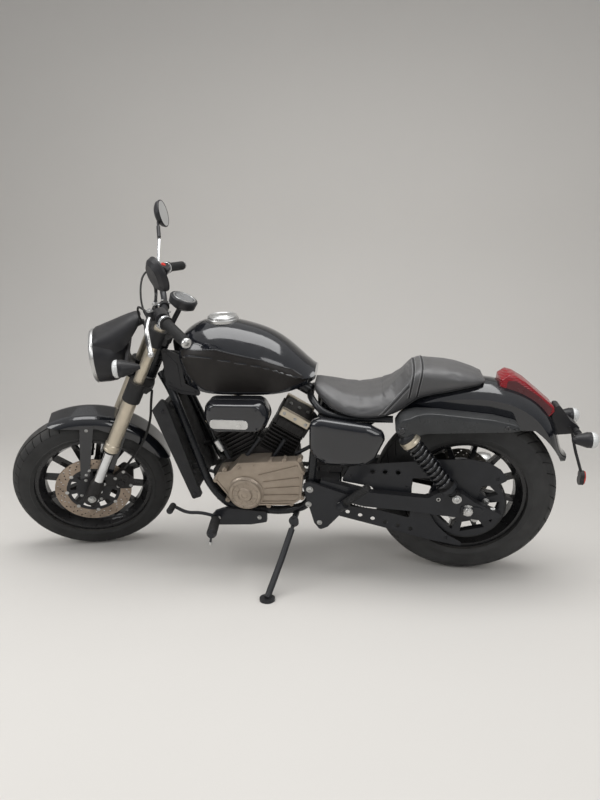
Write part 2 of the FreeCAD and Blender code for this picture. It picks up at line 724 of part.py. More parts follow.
def make_lamp(clamps, legs):
    """Headlamp shell with its cowl, the lens in front, and the front indicators."""
    radius = size.lamp_radius
    centre = nose(size.lamp_back, 0, size.lamp_up)
    back = V(1, 0, 0)
    shell = turned(centre - back * 52, back,
                   [(0, radius - 3), (8, radius), (40, radius), (92, radius * 0.82),
                    (112, radius * 0.5)])
    seat = rod(centre - back * 60, centre - back * 44, radius - 9)
    x, z = centre.x, centre.z
    cowl = slab([(x - 12, z + 84), (x + 10, z + 108, 20), (x + 98, z + 150, 8),
                 (x + 116, z + 146), (x + 62, z + 88), (x + 40, z + 60)], -60, 60)
    bracket = slab([(x + 33, z - 18), (x + 33, z - 55), (x + 52, z - 85), (x + 73, z - 92),
                    (x + 73, z - 45), (x + 60, z - 15)], -34, 34)
    stalks = rod(V(x + 66, -175, z + 34), V(x + 66, 175, z + 34), 7)
    lamp = fuse([shell.cut(seat), cowl, bracket, stalks])
    feature("headlamp", lamp, FRONT, [clamps, legs])
    lens = turned(centre - back * 66, back, [(0, 30), (6, 62), (14, radius - 16), (22, radius - 9.3)])
    feature("headlamp_lens", lens, FRONT)
    lights = []
    for side in (-1, 1):
        start = V(x + 34, side * 193, z + 34)
        lights.append(turned(start, back, [(0, 21), (6, 29), (22, 29), (66, 12), (78, 7)]))
    feature("front_indicators", Part.makeCompound(lights), FRONT, [stalks])


def make_instrument(clamps):
    """A round instrument on a stay behind the bar."""
    normal = V(0.42, 0, 0.91).normalize()
    centre = nose(417, 0, 701)
    dial = turned(centre - normal * 20, normal, [(0, 30), (10, 46), (34, 49), (38, 46)])
    stay = bent([on_fork(690, 0, 44), on_fork(744, 0, 46), centre - normal * 10], 9)
    feature("instrument", fuse([dial, stay]), FRONT, [clamps])


def make_hoses():
    """Brake hose behind the left leg, and the control cables from both hands."""
    hose = bent([on_fork(484, -62, 60), on_fork(440, -66, 72), on_fork(380, -74, 92),
                 on_fork(310, -84, 100), on_fork(240, -86, 94), on_fork(180, -84, 80),
                 on_fork(128, -82, 70)], size.hose_radius)
    feature("brake_hose", hose, FRONT, [standing("front_caliper", FRONT),
                                        standing("fork_clamps", FRONT)])
    cables = []
    for side in (-1, 1):
        cables.append(bent([nose(316, side * 214, 752), nose(296, side * 184, 760),
                            nose(282, side * 146, 752), nose(274, side * 106, 728),
                            nose(272, side * 70, 690), nose(280, side * 46, 650),
                            on_fork(690, side * 44, -18)], size.cable_radius))
    feature("control_cables", Part.makeCompound(cables), FRONT,
            [standing("hand_controls", FRONT), standing("fork_clamps", FRONT)])


# Main frame


def frame_tube(points, radius):
    """A pair of mirrored tubes."""
    tube = bent([at(*p) for p in points], radius)
    return [tube, tube.mirror(V(), ACROSS)]


def stand_geometry():
    """The side stand's pivot, the centre of its foot and its turning axis."""
    pivot = at(size.stand_x, size.stand_y, size.stand_z)
    back = MAIN.inverse()
    ground = MAIN.multVec(at(size.stand_foot_x, 0, 0))
    foot = back.multVec(V(ground.x, -size.stand_foot_out, size.stand_pad_wall))
    leg = (foot - pivot).normalize()
    folded = V(1, -0.02, 0.06).normalize()
    axis = leg.cross(folded).normalize()
    return pivot, foot, axis


def make_frame():
    """Steering head, backbone, cradle, seat rails, pivot posts and the side stand's lug."""
    head = rod(on_fork(508, 0, size.fork_offset), on_fork(674, 0, size.fork_offset),
               size.head_radius)
    spine = bent([at(-1100, 0, 812), at(-760, 0, 780), at(-600, 0, 722), at(-545, 0, 690)],
                 size.spine_radius)
    cradle = frame_tube([(-1083, -20, 752), (-1030, -66, 690), (-912, -104, 348),
                         (-838, -110, 268), (-640, -112, 262), (-548, -128, 300),
                         (-540, -132, 385), (-524, -132, 540), (-500, -108, 640)],
                        size.cradle_radius)
    rails = frame_tube([(-548, -4, 690), (-545, -60, 690), (-500, -108, 650), (-420, -108, 632),
                        (-262, -108, 634)], size.rail_radius)
    bridge = rod(at(-880, -104, 300), at(-880, 104, 300), 12)
    seat_bridge = rod(at(-420, -108, 632), at(-420, 108, 632), 10)
    pivot, _, axis = stand_geometry()
    boss = size.stand_pad_wall + 5
    lug = rod(pivot + axis * (boss / 2 + size.seat_gap), pivot + axis * (boss / 2 + 10), 17)
    pin = rod(pivot - axis * (boss / 2 + 3), pivot + axis * (boss / 2 + 5), 6)
    link = rod(at(size.stand_x, -112, 262), pivot + axis * (boss / 2 + 6), 11)
    stem_bore = rod(on_fork(480, 0, size.fork_offset), on_fork(700, 0, size.fork_offset),
                    size.stem_radius + size.axle_play)
    sleeve = rod(pivot - axis * boss, pivot + axis * (boss / 2 + size.seat_gap),
                 18).cut(pin)
    frame = fuse([head, spine] + cradle + rails + [bridge, seat_bridge, lug, pin, link])
    frame = frame.cut(stem_bore).cut(sleeve)
    feature("frame", frame, MAIN)
    return frame


def make_side_stand():
    """Side stand: bored boss, leg and a foot pad flat on the ground."""
    pivot, foot, axis = stand_geometry()
    boss = size.stand_pad_wall + 5
    eye = rod(pivot - axis * boss / 2, pivot + axis * boss / 2, 15)
    neck_end = pivot + (foot - pivot).normalize() * 26
    neck = rod(pivot, neck_end, boss / 2 - 0.2)
    leg = bent([neck_end, pivot + (foot - pivot) * 0.5 - axis * 7, foot], size.stand_leg_radius, 0.3)
    down = MAIN.inverse().Rotation.multVec(UP) * -1
    pad_shape = rod(foot, foot + down * size.stand_pad_wall, size.stand_pad_radius)
    below = rod(foot + down * size.stand_pad_wall, foot + down * (size.stand_pad_wall + 40), 60)
    bore = rod(pivot - axis * 30, pivot + axis * 30, 6 + size.axle_play)
    stand = fuse([eye, neck, leg, pad_shape]).cut(bore).cut(below)
    feature("side_stand", stand, MAIN)


def make_swing_arm():
    """Swing arm: pivot tube, cross tube and two box arms with axle plates."""
    profile = [(-505, 416, 8), (-330, 374), (-135, 362, 20), (-100, 386, 12), (-20, 384, 14),
               (24, 352, 20), (124, 306, 5), (60, 284, 14), (-100, 298), (-180, 308),
               (-350, 318), (-505, 354, 8)]
    arms = []
    for side in (-1, 1):
        arms.append(plank(profile, side * size.arm_inner, side * size.arm_outer))
        arms.append(plank([(-540, 368), (-470, 358), (-440, 362), (-440, 404), (-540, 404)],
                         side * 60, side * size.arm_inner))
    tube_half = size.arm_inner - 10
    pivot = rod(at(size.pivot_x, -tube_half, size.pivot_z), at(size.pivot_x, tube_half, size.pivot_z),
                size.pivot_radius)
    cross = plank([(-480, 360), (-436, 360), (-436, 406), (-480, 406)], -70, 70)
    arm = fuse(arms + [pivot, cross])
    arm = arm.cut(rod(REAR_AXLE - ACROSS * 200, REAR_AXLE + ACROSS * 200, size.axle_radius + 0.05))
    for side in (-1, 1):
        face = SPOOL + ACROSS * side * size.arm_outer
        inside = SPOOL + ACROSS * side * size.arm_inner
        arm = arm.cut(rod(face, inside, size.spool_hole))
    feature("swing_arm", arm, MAIN, [FRAME])
    return arm.cut(FRAME)


def make_shocks(rails):
    """Two shock absorbers with their coil springs."""
    low = at(-43, -size.shock_y, 379)
    high = at(-235, -size.shock_y, 620)
    run = (high - low)
    length = run.Length
    along = V(run).normalize()
    eye_half = size.shock_y - size.arm_outer - size.seat_gap
    eye = rod(low - ACROSS * 13, low + ACROSS * eye_half, 16)
    ring = size.spring_radius + size.wire_radius
    spring_from, spring_to = 56, 250
    core = size.spring_radius - size.wire_radius - 1
    body = turned(low, along, [(0, 13), (spring_from - 10, 13)])
    seat = rod(low + along * (spring_from - 10), low + along * spring_from, ring)
    damper = rod(low + along * spring_from, low + along * spring_to, core)
    collar = rod(low + along * spring_to, low + along * (spring_to + 30), ring + 1)
    top = rod(low + along * (spring_to + 28), low + along * length, 18)
    shock = fuse([eye, body, seat, damper, collar, top])
    feature("shocks", both_sides(shock), MAIN, rails)
    pitch = (spring_to - spring_from - 2 * size.wire_radius - 1) / size.spring_turns
    height = pitch * size.spring_turns
    helix = Part.makeHelix(pitch, height, size.spring_radius)
    wire = Part.Wire([Part.makeCircle(size.wire_radius, V(size.spring_radius, 0, 0), V(0, 1, 0))])
    coil = Part.Wire(helix.Edges).makePipeShell([wire], True, True)
    start = low + along * (spring_from + size.wire_radius + 0.5)
    coil.Placement = FreeCAD.Placement(start, FreeCAD.Rotation(UP, along))
    coil = coil.copy()
    feature("shock_springs", both_sides(coil), MAIN)


def make_engine():
    """Crankcase, finned cylinders, side covers and the air cleaner."""
    x, z = at(size.crank_x, 0, 0).x, size.crank_z
    vee = math.radians(size.vee_half)
    out, foot = 60, size.cylinder_foot
    lift = foot * math.cos(vee)
    outer_x = foot * math.sin(vee) + out * math.cos(vee)
    outer_z = lift - out * math.sin(vee)
    peak = lift + out * math.sin(vee) - 2
    case = slab([(x - 172, z - 50, 20), (x - 172, z + 26, 10), (x - outer_x - 10, z + outer_z),
                 (x - outer_x, z + outer_z), (x, z + peak), (x + outer_x, z + outer_z),
                 (x + 130, z + outer_z, 10), (x + 136, z - 30, 20), (x + 92, z - 96, 20),
                 (x - 120, z - 96, 20)], -size.case_half, size.case_half)
    banks = []
    for way in (-1, 1):
        bank = []
        core = Part.makeBox(96, 104, size.cylinder_top - foot, V(-48, -52, foot))
        bank.append(core)
        count = 7
        pitch = (size.cylinder_top - foot) / count
        for i in range(count):
            bank.append(Part.makeBox(2 * out, 132, 4, V(-out, -66, foot + i * pitch + 3)))
        head = Part.makeBox(124, 140, size.head_top - size.cylinder_top - 22,
                            V(-62, -70, size.cylinder_top))
        cover = Part.makeBox(104, 120, 26, V(-52, -60, size.head_top - 26))
        cover = cover.makeFillet(10, [e for e in cover.Edges
                                      if e.BoundBox.ZMin > size.head_top - 1])
        bank += [head, cover]
        block = fuse(bank)
        block.Placement = FreeCAD.Placement(V(x, 0, z), FreeCAD.Rotation(ACROSS, way * size.vee_half))
        banks.append(block.copy())
    split = slab([(x - 0.2, z), (x + 0.2, z), (x + 0.2, z + 300), (x - 0.2, z + 300)], -200, 200)
    banks = [bank.cut(split).cut(case) for bank in banks]
    cylinders = Part.makeCompound([max(bank.Solids, key=lambda s: s.Volume) for bank in banks])
    feature("engine_block", case, MAIN, [FRAME])
    feature("cylinders", cylinders, MAIN, [FRAME])
    left = slab([(x - 152, z + 20, 12), (x - 138, z + 50, 12), (x - 92, z + 58, 14),
                 (x - 62, z + 90, 14), (x + 150, z + 108, 18), (x + 168, z + 64, 12),
                 (x + 158, z - 44, 20), (x + 124, z - 70, 14), (x - 78, z - 82, 40)],
                -size.case_half, -size.cover_out)
    belt_room = slab([(x + 48, z - 130), (x + 200, z - 130), (x + 200, z + 150),
                      (x + 48, z + 150)], -(size.pulley_y + size.belt_width / 2 + 4), 0)
    round_cover = rod(V(x - 40, -size.cover_out, z - 28), V(x - 40, -size.cover_out - 14, z - 28), 57)
    left = fuse([left.cut(belt_room), round_cover])
    right = fuse([slab([(x - 140, z - 30, 30), (x - 120, z + 52, 30), (x - 20, z + 92, 40),
                        (x + 96, z + 66, 40), (x + 112, z - 40, 40), (x, z - 84, 40)],
                       size.case_half, size.cover_out - 14),
                  rod(V(x + 30, size.cover_out - 14, z), V(x + 30, size.cover_out, z), 68)])
    feature("engine_covers", Part.makeCompound([left, right]), MAIN, [FRAME])
    box = slab([(x - 170, z + 200, 16), (x - 170, z + 325, 22), (x + 42, z + 325, 16),
                (x + 42, z + 200, 22)], -184, -118)
    duct = slab([(x - 70, z + 215), (x + 30, z + 215), (x + 30, z + 300), (x - 70, z + 300)],
                -119, 0)
    cleaner = fuse([box, duct]).cut(cylinders).cut(FRAME)
    cleaner = max(cleaner.Solids, key=lambda s: s.Volume)
    feature("air_cleaner", cleaner, MAIN)
    return case, cylinders, right


def make_exhaust(case, cylinders):
    """Two header pipes on the right, one silencer."""
    y = size.silencer_y
    front = bent([at(-888, 30, 560), at(-930, 44, 512), at(-902, 110, 436), at(-878, 150, 350),
                  at(-800, 180, 268), at(-600, 192, 252), at(-430, y, 256)], 19)
    rear = bent([at(-590, 62, 560), at(-560, 120, 548), at(-552, 176, 470), at(-520, y - 6, 350),
                 at(-400, y, 262)], 19)
    can = turned(at(-450, y, 256), V(1, 0, 0.11).normalize(),
                 [(0, 22), (50, size.silencer_radius), (560, size.silencer_radius),
                  (590, size.silencer_radius - 10)])
    mouth = rod(V(90, y, 256 + 60), V(160, y, 256 + 67), size.silencer_radius - 18)
    bracket = plank([(-260, 250), (-215, 250), (-215, 330), (-260, 330)], size.arm_outer + 0.3,
                   y - 20)
    exhaust = fuse([front, rear, can, bracket]).cut(mouth)
    feature("exhaust", exhaust, MAIN, [case, cylinders, FRAME, RIGHT_COVER])


def make_radiator():
    """Radiator core with its side covers, on lugs from the down tubes."""
    core = plank([(-1078, 648), (-1046, 660), (-958, 330), (-976, 322)], -118, 118)
    cover = plank([(-1088, 652, 6), (-1054, 692, 10), (-1040, 682, 8), (-1028, 652), (-938, 320, 8),
                  (-972, 306, 8)], -136, -118)
    lugs = [rod(at(-1060, -70, 650), at(-1015, -70, 648), 9),
            rod(at(-985, -96, 420), at(-932, -97, 426), 9)]
    pieces = [core, cover, cover.mirror(V(), ACROSS)]
    for lug in lugs:
        pieces += [lug, lug.mirror(V(), ACROSS)]
    feature("radiator", fuse(pieces), MAIN, [FRAME])


def make_tank():
    """Fuel tank: crown over a backbone tunnel, and its cap."""
    w = size.tank_half
    # x, half width, foot half width, bottom, flank top, crown
    table = [(-985, w - 42, 60, 745, 832, 900), (-930, w - 14, 92, 714, 846, 936),
             (-850, w, 104, 706, 842, 948), (-750, w, 104, 706, 826, 930),
             (-650, w - 14, 92, 710, 800, 888), (-570, w - 42, 66, 728, 768, 822),
             (-528, w - 68, 50, 752, 768, 786)]
    body = loft([crowned_section(at(row[0], 0, 0).x, *row[1:]) for row in table])
    tunnel = plank([(-1020, 660), (-1020, 846), (-760, 812), (-590, 752), (-500, 720),
                   (-500, 660)], -32, 32)
    tank = body.cut(tunnel)
    feature("fuel_tank", tank, MAIN, [FRAME])
    cap = turned(at(-850, 0, 922), UP, [(0, 40), (22, size.cap_radius - 4), (28, size.cap_radius),
                                        (34, size.cap_radius - 3), (38, 30)])
    feature("fuel_cap", cap, MAIN, [tank])
    return tank


def make_seat(tank, fender):
    """One seat unit: rider's bucket and the raised pillion."""
    # x, half width, foot half width, bottom, flank top, crown
    table = [(-536, 62, 60, 700, 722, 746), (-470, 112, 108, 652, 684, 724),
             (-380, 142, 138, 636, 664, 706), (-300, 142, 136, 640, 672, 718),
             (-235, 122, 116, 660, 712, 770), (-190, 104, 98, 692, 764, 814),
             (-90, 100, 92, 716, 764, 802), (0, 84, 76, 734, 752, 770),
             (46, 56, 50, 744, 752, 758)]
    seat = loft([crowned_section(at(row[0], 0, 0).x, *row[1:]) for row in table])
    feature("seat", seat, MAIN, [tank, fender, FRAME])


def make_tail():
    """Rear fender, fender rails, tail light, bracket with indicators and reflector."""
    half = size.tail_half
    # crest x, crest z, tilt back in degrees, half width, depth, shoulder depth
    table = [(-236, 700, -8, half - 30, 120, 30), (-100, 744, -4, half, 118, 44),
             (50, 751, 4, half, 122, 46), (180, 712, 32, half, 112, 46),
             (272, 622, 56, half - 4, 92, 42), (336, 484, 74, half - 34, 30, 16)]
    sections = []
    for x, z, tilt, wide, depth, shoulder in table:
        section = crowned_section(0, wide, wide - 3, -depth, -shoulder, 0)
        section.Placement = FreeCAD.Placement(at(x, 0, z), FreeCAD.Rotation(ACROSS, tilt))
        sections.append(section)
    block = loft(sections)
    room = rod(REAR_AXLE - ACROSS * (half - size.fender_wall),
               REAR_AXLE + ACROSS * (half - size.fender_wall), size.rear_radius + size.tail_gap)
    fender = block.cut(room).cut(FRAME)
    feature("rear_fender", fender, MAIN)
    rail = plank([(-255, 640, 10), (-190, 668, 20), (-150, 674, 20), (60, 657, 30), (132, 642, 10),
                 (150, 625, 6), (118, 618), (-130, 603), (-215, 608, 10)], -half - 0.3, -148)
    bulge = plank([(-264, 626, 12), (-238, 662, 14), (-190, 676, 20), (-150, 674), (-150, 618),
                  (-206, 596, 12)], -148, -188)
    face = RACK - ACROSS * RAIL_OUT
    hole = rod(face, face + ACROSS * size.rack_depth, size.rack_hole)
    rails = both_sides(fuse([rail, bulge]).cut(FRAME).cut(hole))
    feature("fender_rails", rails, MAIN)
    lens = plank([(84, 720), (86, 760, 8), (110, 777, 10), (134, 771, 30), (172, 748, 60),
                 (216, 711, 60), (268, 667, 8), (272, 650, 6), (250, 624)], -46, 46)
    feature("tail_light", lens, MAIN, [fender])
    block = plank([(296, 560), (268, 626), (276, 650, 4), (276, 664, 6), (292, 664, 12), (330, 614, 20),
                  (362, 590, 6), (362, 568, 6)], -26, 26)
    bar = rod(V(350, -100, 580), V(350, 100, 580), 9)
    stem = bent([V(346, 0, 576), V(366, 0, 500), V(402, 0, 404)], 5)
    plate = rod(V(396, 0, 396), V(410, 0, 396), 17)
    plate_low = rod(V(396, 0, 376), V(410, 0, 376), 17)
    pieces = [block, bar, stem, plate, plate_low]
    for side in (-1, 1):
        start = V(318, side * 105, 580)
        pieces.append(turned(start, V(1, 0, 0), [(0, 7), (8, 14), (46, 26), (62, 26), (74, 20)]))
    feature("tail_bracket", fuse(pieces), MAIN, [fender])
    return fender, rails


def make_belt():
    """Toothed belt round both pulleys, and the guards above and below it."""
    front = at(-620, 0, 395)
    near = size.front_pulley_radius
    far = size.pulley_radius

    def loop(extra):
        """A slab round both pulleys, wider than them by extra."""
        run = (REAR_AXLE - front)
        distance = run.Length
        base = math.atan2(run.z, run.x)
        swing = math.acos((near - far) / distance)
        points = []
        for angle in (base + swing, base - swing):
            direction = V(math.cos(angle), 0, math.sin(angle))
            points.append((front + direction * (near + extra), REAR_AXLE + direction * (far + extra)))
        back_tip = REAR_AXLE + V(math.cos(base), 0, math.sin(base)) * (far + extra)
        front_tip = front - V(math.cos(base), 0, math.sin(base)) * (near + extra)
        wire = Part.Wire([Part.LineSegment(points[0][0], points[0][1]).toShape(),
                          Part.Arc(points[0][1], back_tip, points[1][1]).toShape(),
                          Part.LineSegment(points[1][1], points[1][0]).toShape(),
                          Part.Arc(points[1][0], front_tip, points[0][0]).toShape()])
        face = Part.Face(wire)
        face.translate(V(0, -size.pulley_y - size.belt_width / 2, 0))
        return face.extrude(V(0, size.belt_width, 0))

    belt = loop(size.belt_gap + size.belt_wall).cut(loop(size.belt_gap))
    feature("drive_belt", belt, MAIN)
    outer = size.arm_inner - size.seat_gap
    inner = outer - size.guard_wall
    upper = plank([(-432, 400, 6), (-405, 458, 12), (-330, 470, 30), (-100, 496, 60), (0, 502, 80),
                  (62, 492, 40), (104, 465, 30), (128, 428, 8), (90, 404, 10), (44, 404, 10),
                  (30, 338, 14), (6, 332, 10), (-16, 380, 12), (-74, 402, 12), (-96, 424, 10),
                  (-190, 424, 10), (-190, 364, 8), (-310, 364, 8), (-330, 384, 8)], -inner, -outer)
    lower = plank([(-540, 292, 10), (-430, 302, 20), (-300, 290, 20), (-192, 264, 6), (-190, 326, 8),
                  (-134, 326, 8), (-126, 290, 20), (-100, 244, 60), (-60, 203, 60), (-6, 172, 8),
                  (-8, 158, 6), (-120, 178, 60), (-260, 214, 60), (-450, 260, 60), (-536, 272, 8)],
                 -inner, -outer)
    for x_hole in (-325, -282, -238):
        upper = upper.cut(rod(V(x_hole, -outer - 5, 442), V(x_hole, -inner + 5, 442), 8))
    for i in range(6):
        where = V(-410 + 44.6 * i, 0, 276 - 11.4 * i)
        lower = lower.cut(rod(where - ACROSS * (outer + 5), where - ACROSS * (inner - 5), 8))
    spacer_room = rod(REAR_AXLE - ACROSS * (outer + 5), REAR_AXLE - ACROSS * (inner - 5),
                      size.axle_radius + 7)
    feature("upper_belt_guard", upper, MAIN, [FRAME, spacer_room])
    feature("lower_belt_guard", lower, MAIN, [FRAME])
    return belt


def make_panels():
    """Side covers under the seat, and the covers beside the steering head."""
    cover = plank([(-540, 636, 8), (-300, 640, 14), (-296, 562, 30), (-344, 506, 30),
                  (-396, 470, 20), (-540, 474, 12)], -147.3, -172)
    feature("side_covers", both_sides(cover), MAIN, [FRAME])
    panel = plank([(-1058, 862, 10), (-990, 828, 8), (-984, 730, 8), (-934, 704, 10), (-932, 684, 8),
                  (-1000, 690, 12), (-1050, 712, 12)], -68, -60)
    posts = rod(at(-1020, -62, 795), at(-1020, -4, 795), 9)
    panels = both_sides(fuse([panel, posts]))
    feature("neck_covers", panels, MAIN, [FRAME, TANK])


def make_foot_parts():
    """Rider's and passenger's pegs with brackets, shift lever and brake pedal."""
    rider = plank([(-912, 236, 10), (-890, 262, 10), (-850, 278, 10), (-700, 270, 8), (-700, 228, 8),
                  (-760, 214, 10), (-880, 206, 10)], -127.3, -140)
    peg_root, peg_tip = at(-890, -138, 232), at(-864, -300, 266)
    out = (peg_tip - peg_root).normalize()
    peg = turned(peg_root, out, [(0, 9), (22, 9), (24, 16), (146, 15), (166, 10)])
    feeler = rod(peg_tip - out * 14, peg_tip - out * 14 + V(-6, 0, -34), 4)
    pegs = fuse([rider, peg, feeler])
    casting = plank([(-566, 400, 14), (-540, 412, 14), (-404, 366, 12), (-392, 338, 12),
                    (-478, 236, 14), (-506, 222, 12), (-526, 250, 12)], -150.3, -162)
    boss = rod(at(-540, -147.3, 385), at(-540, -152, 385), 14)
    folded = rod(at(-424, -166, 332), at(-338, -200, 424), 12)
    tail_peg = rod(at(-436, -168, 320), at(-416, -178, 340), 15)
    passenger = fuse([casting, boss, folded, tail_peg])
    left = Part.makeCompound([pegs, passenger])
    feature("foot_pegs", both_sides(left), MAIN, [FRAME, EXHAUST])
    lever = bent([at(-890, -146, 246), at(-940, -152, 262), at(-992, -158, 262), at(-1040, -160, 290)], 6)
    toe = rod(at(-1040, -156, 290), at(-1040, -204, 292), 10)
    hinge = rod(at(-890, -140.3, 246), at(-890, -154, 246), 11)
    shift = fuse([lever, toe, hinge])
    pedal = bent([at(-890, 146, 246), at(-950, 154, 256), at(-1040, 158, 286)], 7)
    foot_plate = plank([(-1062, 276), (-1062, 300), (-1004, 292), (-1004, 268)], 150, 202)
    brake = fuse([pedal, foot_plate, rod(at(-890, 140.3, 246), at(-890, 154, 246), 11)])
    pegs_all = both_sides(pegs)
    feature("foot_controls", Part.makeCompound([shift, brake]), MAIN, [pegs_all, FRAME, EXHAUST])


def make_rear_caliper(arm):
    """Rear caliper, carried inside the right arm."""
    x, z = 0.0, size.rear_radius
    body = slab([(x - 128, z + 34, 12), (x - 100, z + 92, 12), (x - 60, z + 108, 12),
                 (x - 52, z + 66, 10), (x - 86, z + 24, 12)], 76, size.arm_inner - size.seat_gap)
    slot = size.disc_wall / 2 + size.pad_gap
    blade = rod(REAR_AXLE + ACROSS * (size.rear_disc_y - slot),
                REAR_AXLE + ACROSS * (size.rear_disc_y + slot),
                size.rear_disc_radius + size.pad_gap)
    feature("rear_caliper", body.cut(blade), MAIN, [arm])


def finish():
    """Checks every object, then writes one STEP file for each sub-part."""
    doc.recompute()
    for obj in doc.Objects:
        state = set(obj.State)
        if state & {"Invalid", "Error"}:
            raise RuntimeError("%s is %s" % (obj.Label, obj.State))
    whole = Part.makeCompound([obj.Shape for obj in PARTS]).optimalBoundingBox(False)
    shift = V(-whole.Center.x, -whole.Center.y, -whole.ZMin)
    print("origin moved by %.3f %.3f %.3f" % (shift.x, shift.y, shift.z))
    os.makedirs("parts", exist_ok=True)
    for obj in PARTS:
        obj.Placement = FreeCAD.Placement(shift, FreeCAD.Rotation()) * obj.Placement
        shape = obj.Shape
        if shape.isNull() or not shape.isValid() or not shape.Solids:
            raise RuntimeError("%s has no valid shape" % obj.Label)
        shape.exportStep("parts/%s.step" % obj.Label)
        print("%-18s solids %d volume %.0f" % (obj.Label, len(shape.Solids), shape.Volume))


FRAME = make_frame()
make_wheels()
make_axles()
make_front_end()
make_side_stand()
ARM = make_swing_arm()
CASE, CYLINDERS, RIGHT_COVER = make_engine()
make_exhaust(CASE, CYLINDERS)
EXHAUST = standing("exhaust", MAIN)
make_radiator()
TANK = make_tank()
FENDER, RAILS = make_tail()
make_seat(TANK, FENDER)
make_shocks([RAILS])
make_belt()
make_panels()
make_foot_parts()
make_rear_caliper(ARM)
finish()
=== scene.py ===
"""The looks of a black cruiser motorcycle on its side stand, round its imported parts, in metres.

The pieces are drawn in millimetres on the upright, straight bike, forward along -X, left along -Y,
with x = 0 at the rear axle and the ground at z = 0. A Spot then takes them to where the bike leans.
"""

import json
import logging
from dataclasses import dataclass
from enum import Enum
from math import acos, atan2, copysign, cos, degrees, pi, radians, sin, sqrt, tan
from typing import Callable, Sequence

import bmesh
import bpy
from mathutils import Matrix, Vector
from mathutils.bvhtree import BVHTree

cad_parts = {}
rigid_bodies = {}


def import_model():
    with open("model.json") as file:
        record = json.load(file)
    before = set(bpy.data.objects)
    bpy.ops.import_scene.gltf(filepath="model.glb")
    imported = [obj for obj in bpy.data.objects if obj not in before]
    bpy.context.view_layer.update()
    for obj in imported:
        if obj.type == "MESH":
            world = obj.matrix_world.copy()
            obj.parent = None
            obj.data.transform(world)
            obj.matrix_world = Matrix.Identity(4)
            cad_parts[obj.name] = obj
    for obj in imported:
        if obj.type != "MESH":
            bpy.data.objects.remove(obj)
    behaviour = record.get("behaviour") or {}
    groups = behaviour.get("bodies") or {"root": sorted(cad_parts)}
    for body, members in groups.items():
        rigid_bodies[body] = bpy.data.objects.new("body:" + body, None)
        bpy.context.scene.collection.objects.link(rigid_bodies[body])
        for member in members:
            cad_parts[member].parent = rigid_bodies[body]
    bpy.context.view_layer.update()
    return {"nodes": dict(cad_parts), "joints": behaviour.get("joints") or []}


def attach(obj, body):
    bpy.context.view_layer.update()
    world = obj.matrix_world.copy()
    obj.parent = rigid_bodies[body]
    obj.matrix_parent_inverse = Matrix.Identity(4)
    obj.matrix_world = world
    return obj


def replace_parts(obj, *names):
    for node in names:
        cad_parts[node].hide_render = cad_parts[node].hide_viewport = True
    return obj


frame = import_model()
LOG = logging.getLogger("cruiser")
MM = 0.001
X, Y, Z = Vector((1, 0, 0)), Vector((0, 1, 0)), Vector((0, 0, 1))

Colour = tuple[float, float, float]
Point = Sequence[float]
Path = Sequence[Point]
Socket = bpy.types.NodeSocket
Thing = bpy.types.Object


@dataclass(frozen=True)
class Stance:
    """How the bike stands, with sizes in millimetres and angles in degrees."""

    wheelbase: float = 1405.0
    lean: float = 11.5
    steer: float = 19.5
    rake: float = 27.15
    trail: float = 115.3
    front_radius: float = 299.0
    front_crown: float = 60.0
    rear_radius: float = 323.0
    rear_crown: float = 75.0

    @property
    def rear_axle(self) -> Vector:
        """Centre of the rear wheel."""
        return Vector((0, 0, self.rear_radius))

    @property
    def front_axle(self) -> Vector:
        """Centre of the front wheel."""
        return Vector((-self.wheelbase, 0, self.front_radius))

    @property
    def fork_up(self) -> Vector:
        """Direction up the fork legs and the steering axis."""
        angle = radians(self.rake)
        return Vector((sin(angle), 0, cos(angle)))

    @property
    def fork_back(self) -> Vector:
        """Direction square to the fork legs, to the rear."""
        angle = radians(self.rake)
        return Vector((cos(angle), 0, -sin(angle)))

    def on_fork(self, along: float, side: float = 0.0, back: float = 0.0) -> Vector:
        """A point given along the leg from the axle, across to the right and behind the leg's line."""
        return self.front_axle + self.fork_up * along + self.fork_back * back + Y * side

    def matrices(self) -> tuple[Matrix, Matrix]:
        """Works out the leaning frame and the turned front end, both tyres on the ground.

        Returns:
            The matrices of the frame and of the front end, in millimetres, before the shift.
        """
        foot = Matrix.Translation((-self.wheelbase - self.trail, 0, 0))
        turn = Matrix.Rotation(radians(self.steer), 4, self.fork_up)
        steer = foot @ turn @ foot.inverted()
        lean = Matrix.Rotation(radians(self.lean), 4, X)
        pitch = 0.0
        main = lean
        for _ in range(8):
            main = lean @ Matrix.Rotation(pitch, 4, Y)
            rear = self.lowest(main, self.rear_axle, self.rear_radius, self.rear_crown)
            front = self.lowest(main @ steer, self.front_axle, self.front_radius, self.front_crown)
            pitch -= (front - rear) / self.wheelbase
        return main, main @ steer

    @staticmethod
    def lowest(matrix: Matrix, centre: Vector, radius: float, crown: float) -> float:
        """Height of a leaning tyre's lowest point, from its outside radius and its crown's radius."""
        tilt = (matrix.to_3x3() @ Y).z
        return (matrix @ centre).z - (radius - crown) * sqrt(1 - tilt * tilt) - crown


STANCE = Stance()


def shifted(matrix: Matrix, main: Matrix) -> Matrix:
    """A body's matrix in metres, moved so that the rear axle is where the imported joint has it.

    Args:
        matrix: a body's matrix in millimetres.
        main: the leaning frame's matrix in millimetres.

    Returns:
        The matrix from the upright bike in metres to the row frame.
    """
    axle = next(j for j in frame["joints"] if j["name"] == "rear_wheel_spin")["pos_m"]
    shift = Vector(axle) - (main @ STANCE.rear_axle) * MM
    placed = matrix.copy()
    placed.translation = matrix.translation * MM + shift
    return placed


BIKE, FORKS = (shifted(m, STANCE.matrices()[0]) for m in STANCE.matrices())


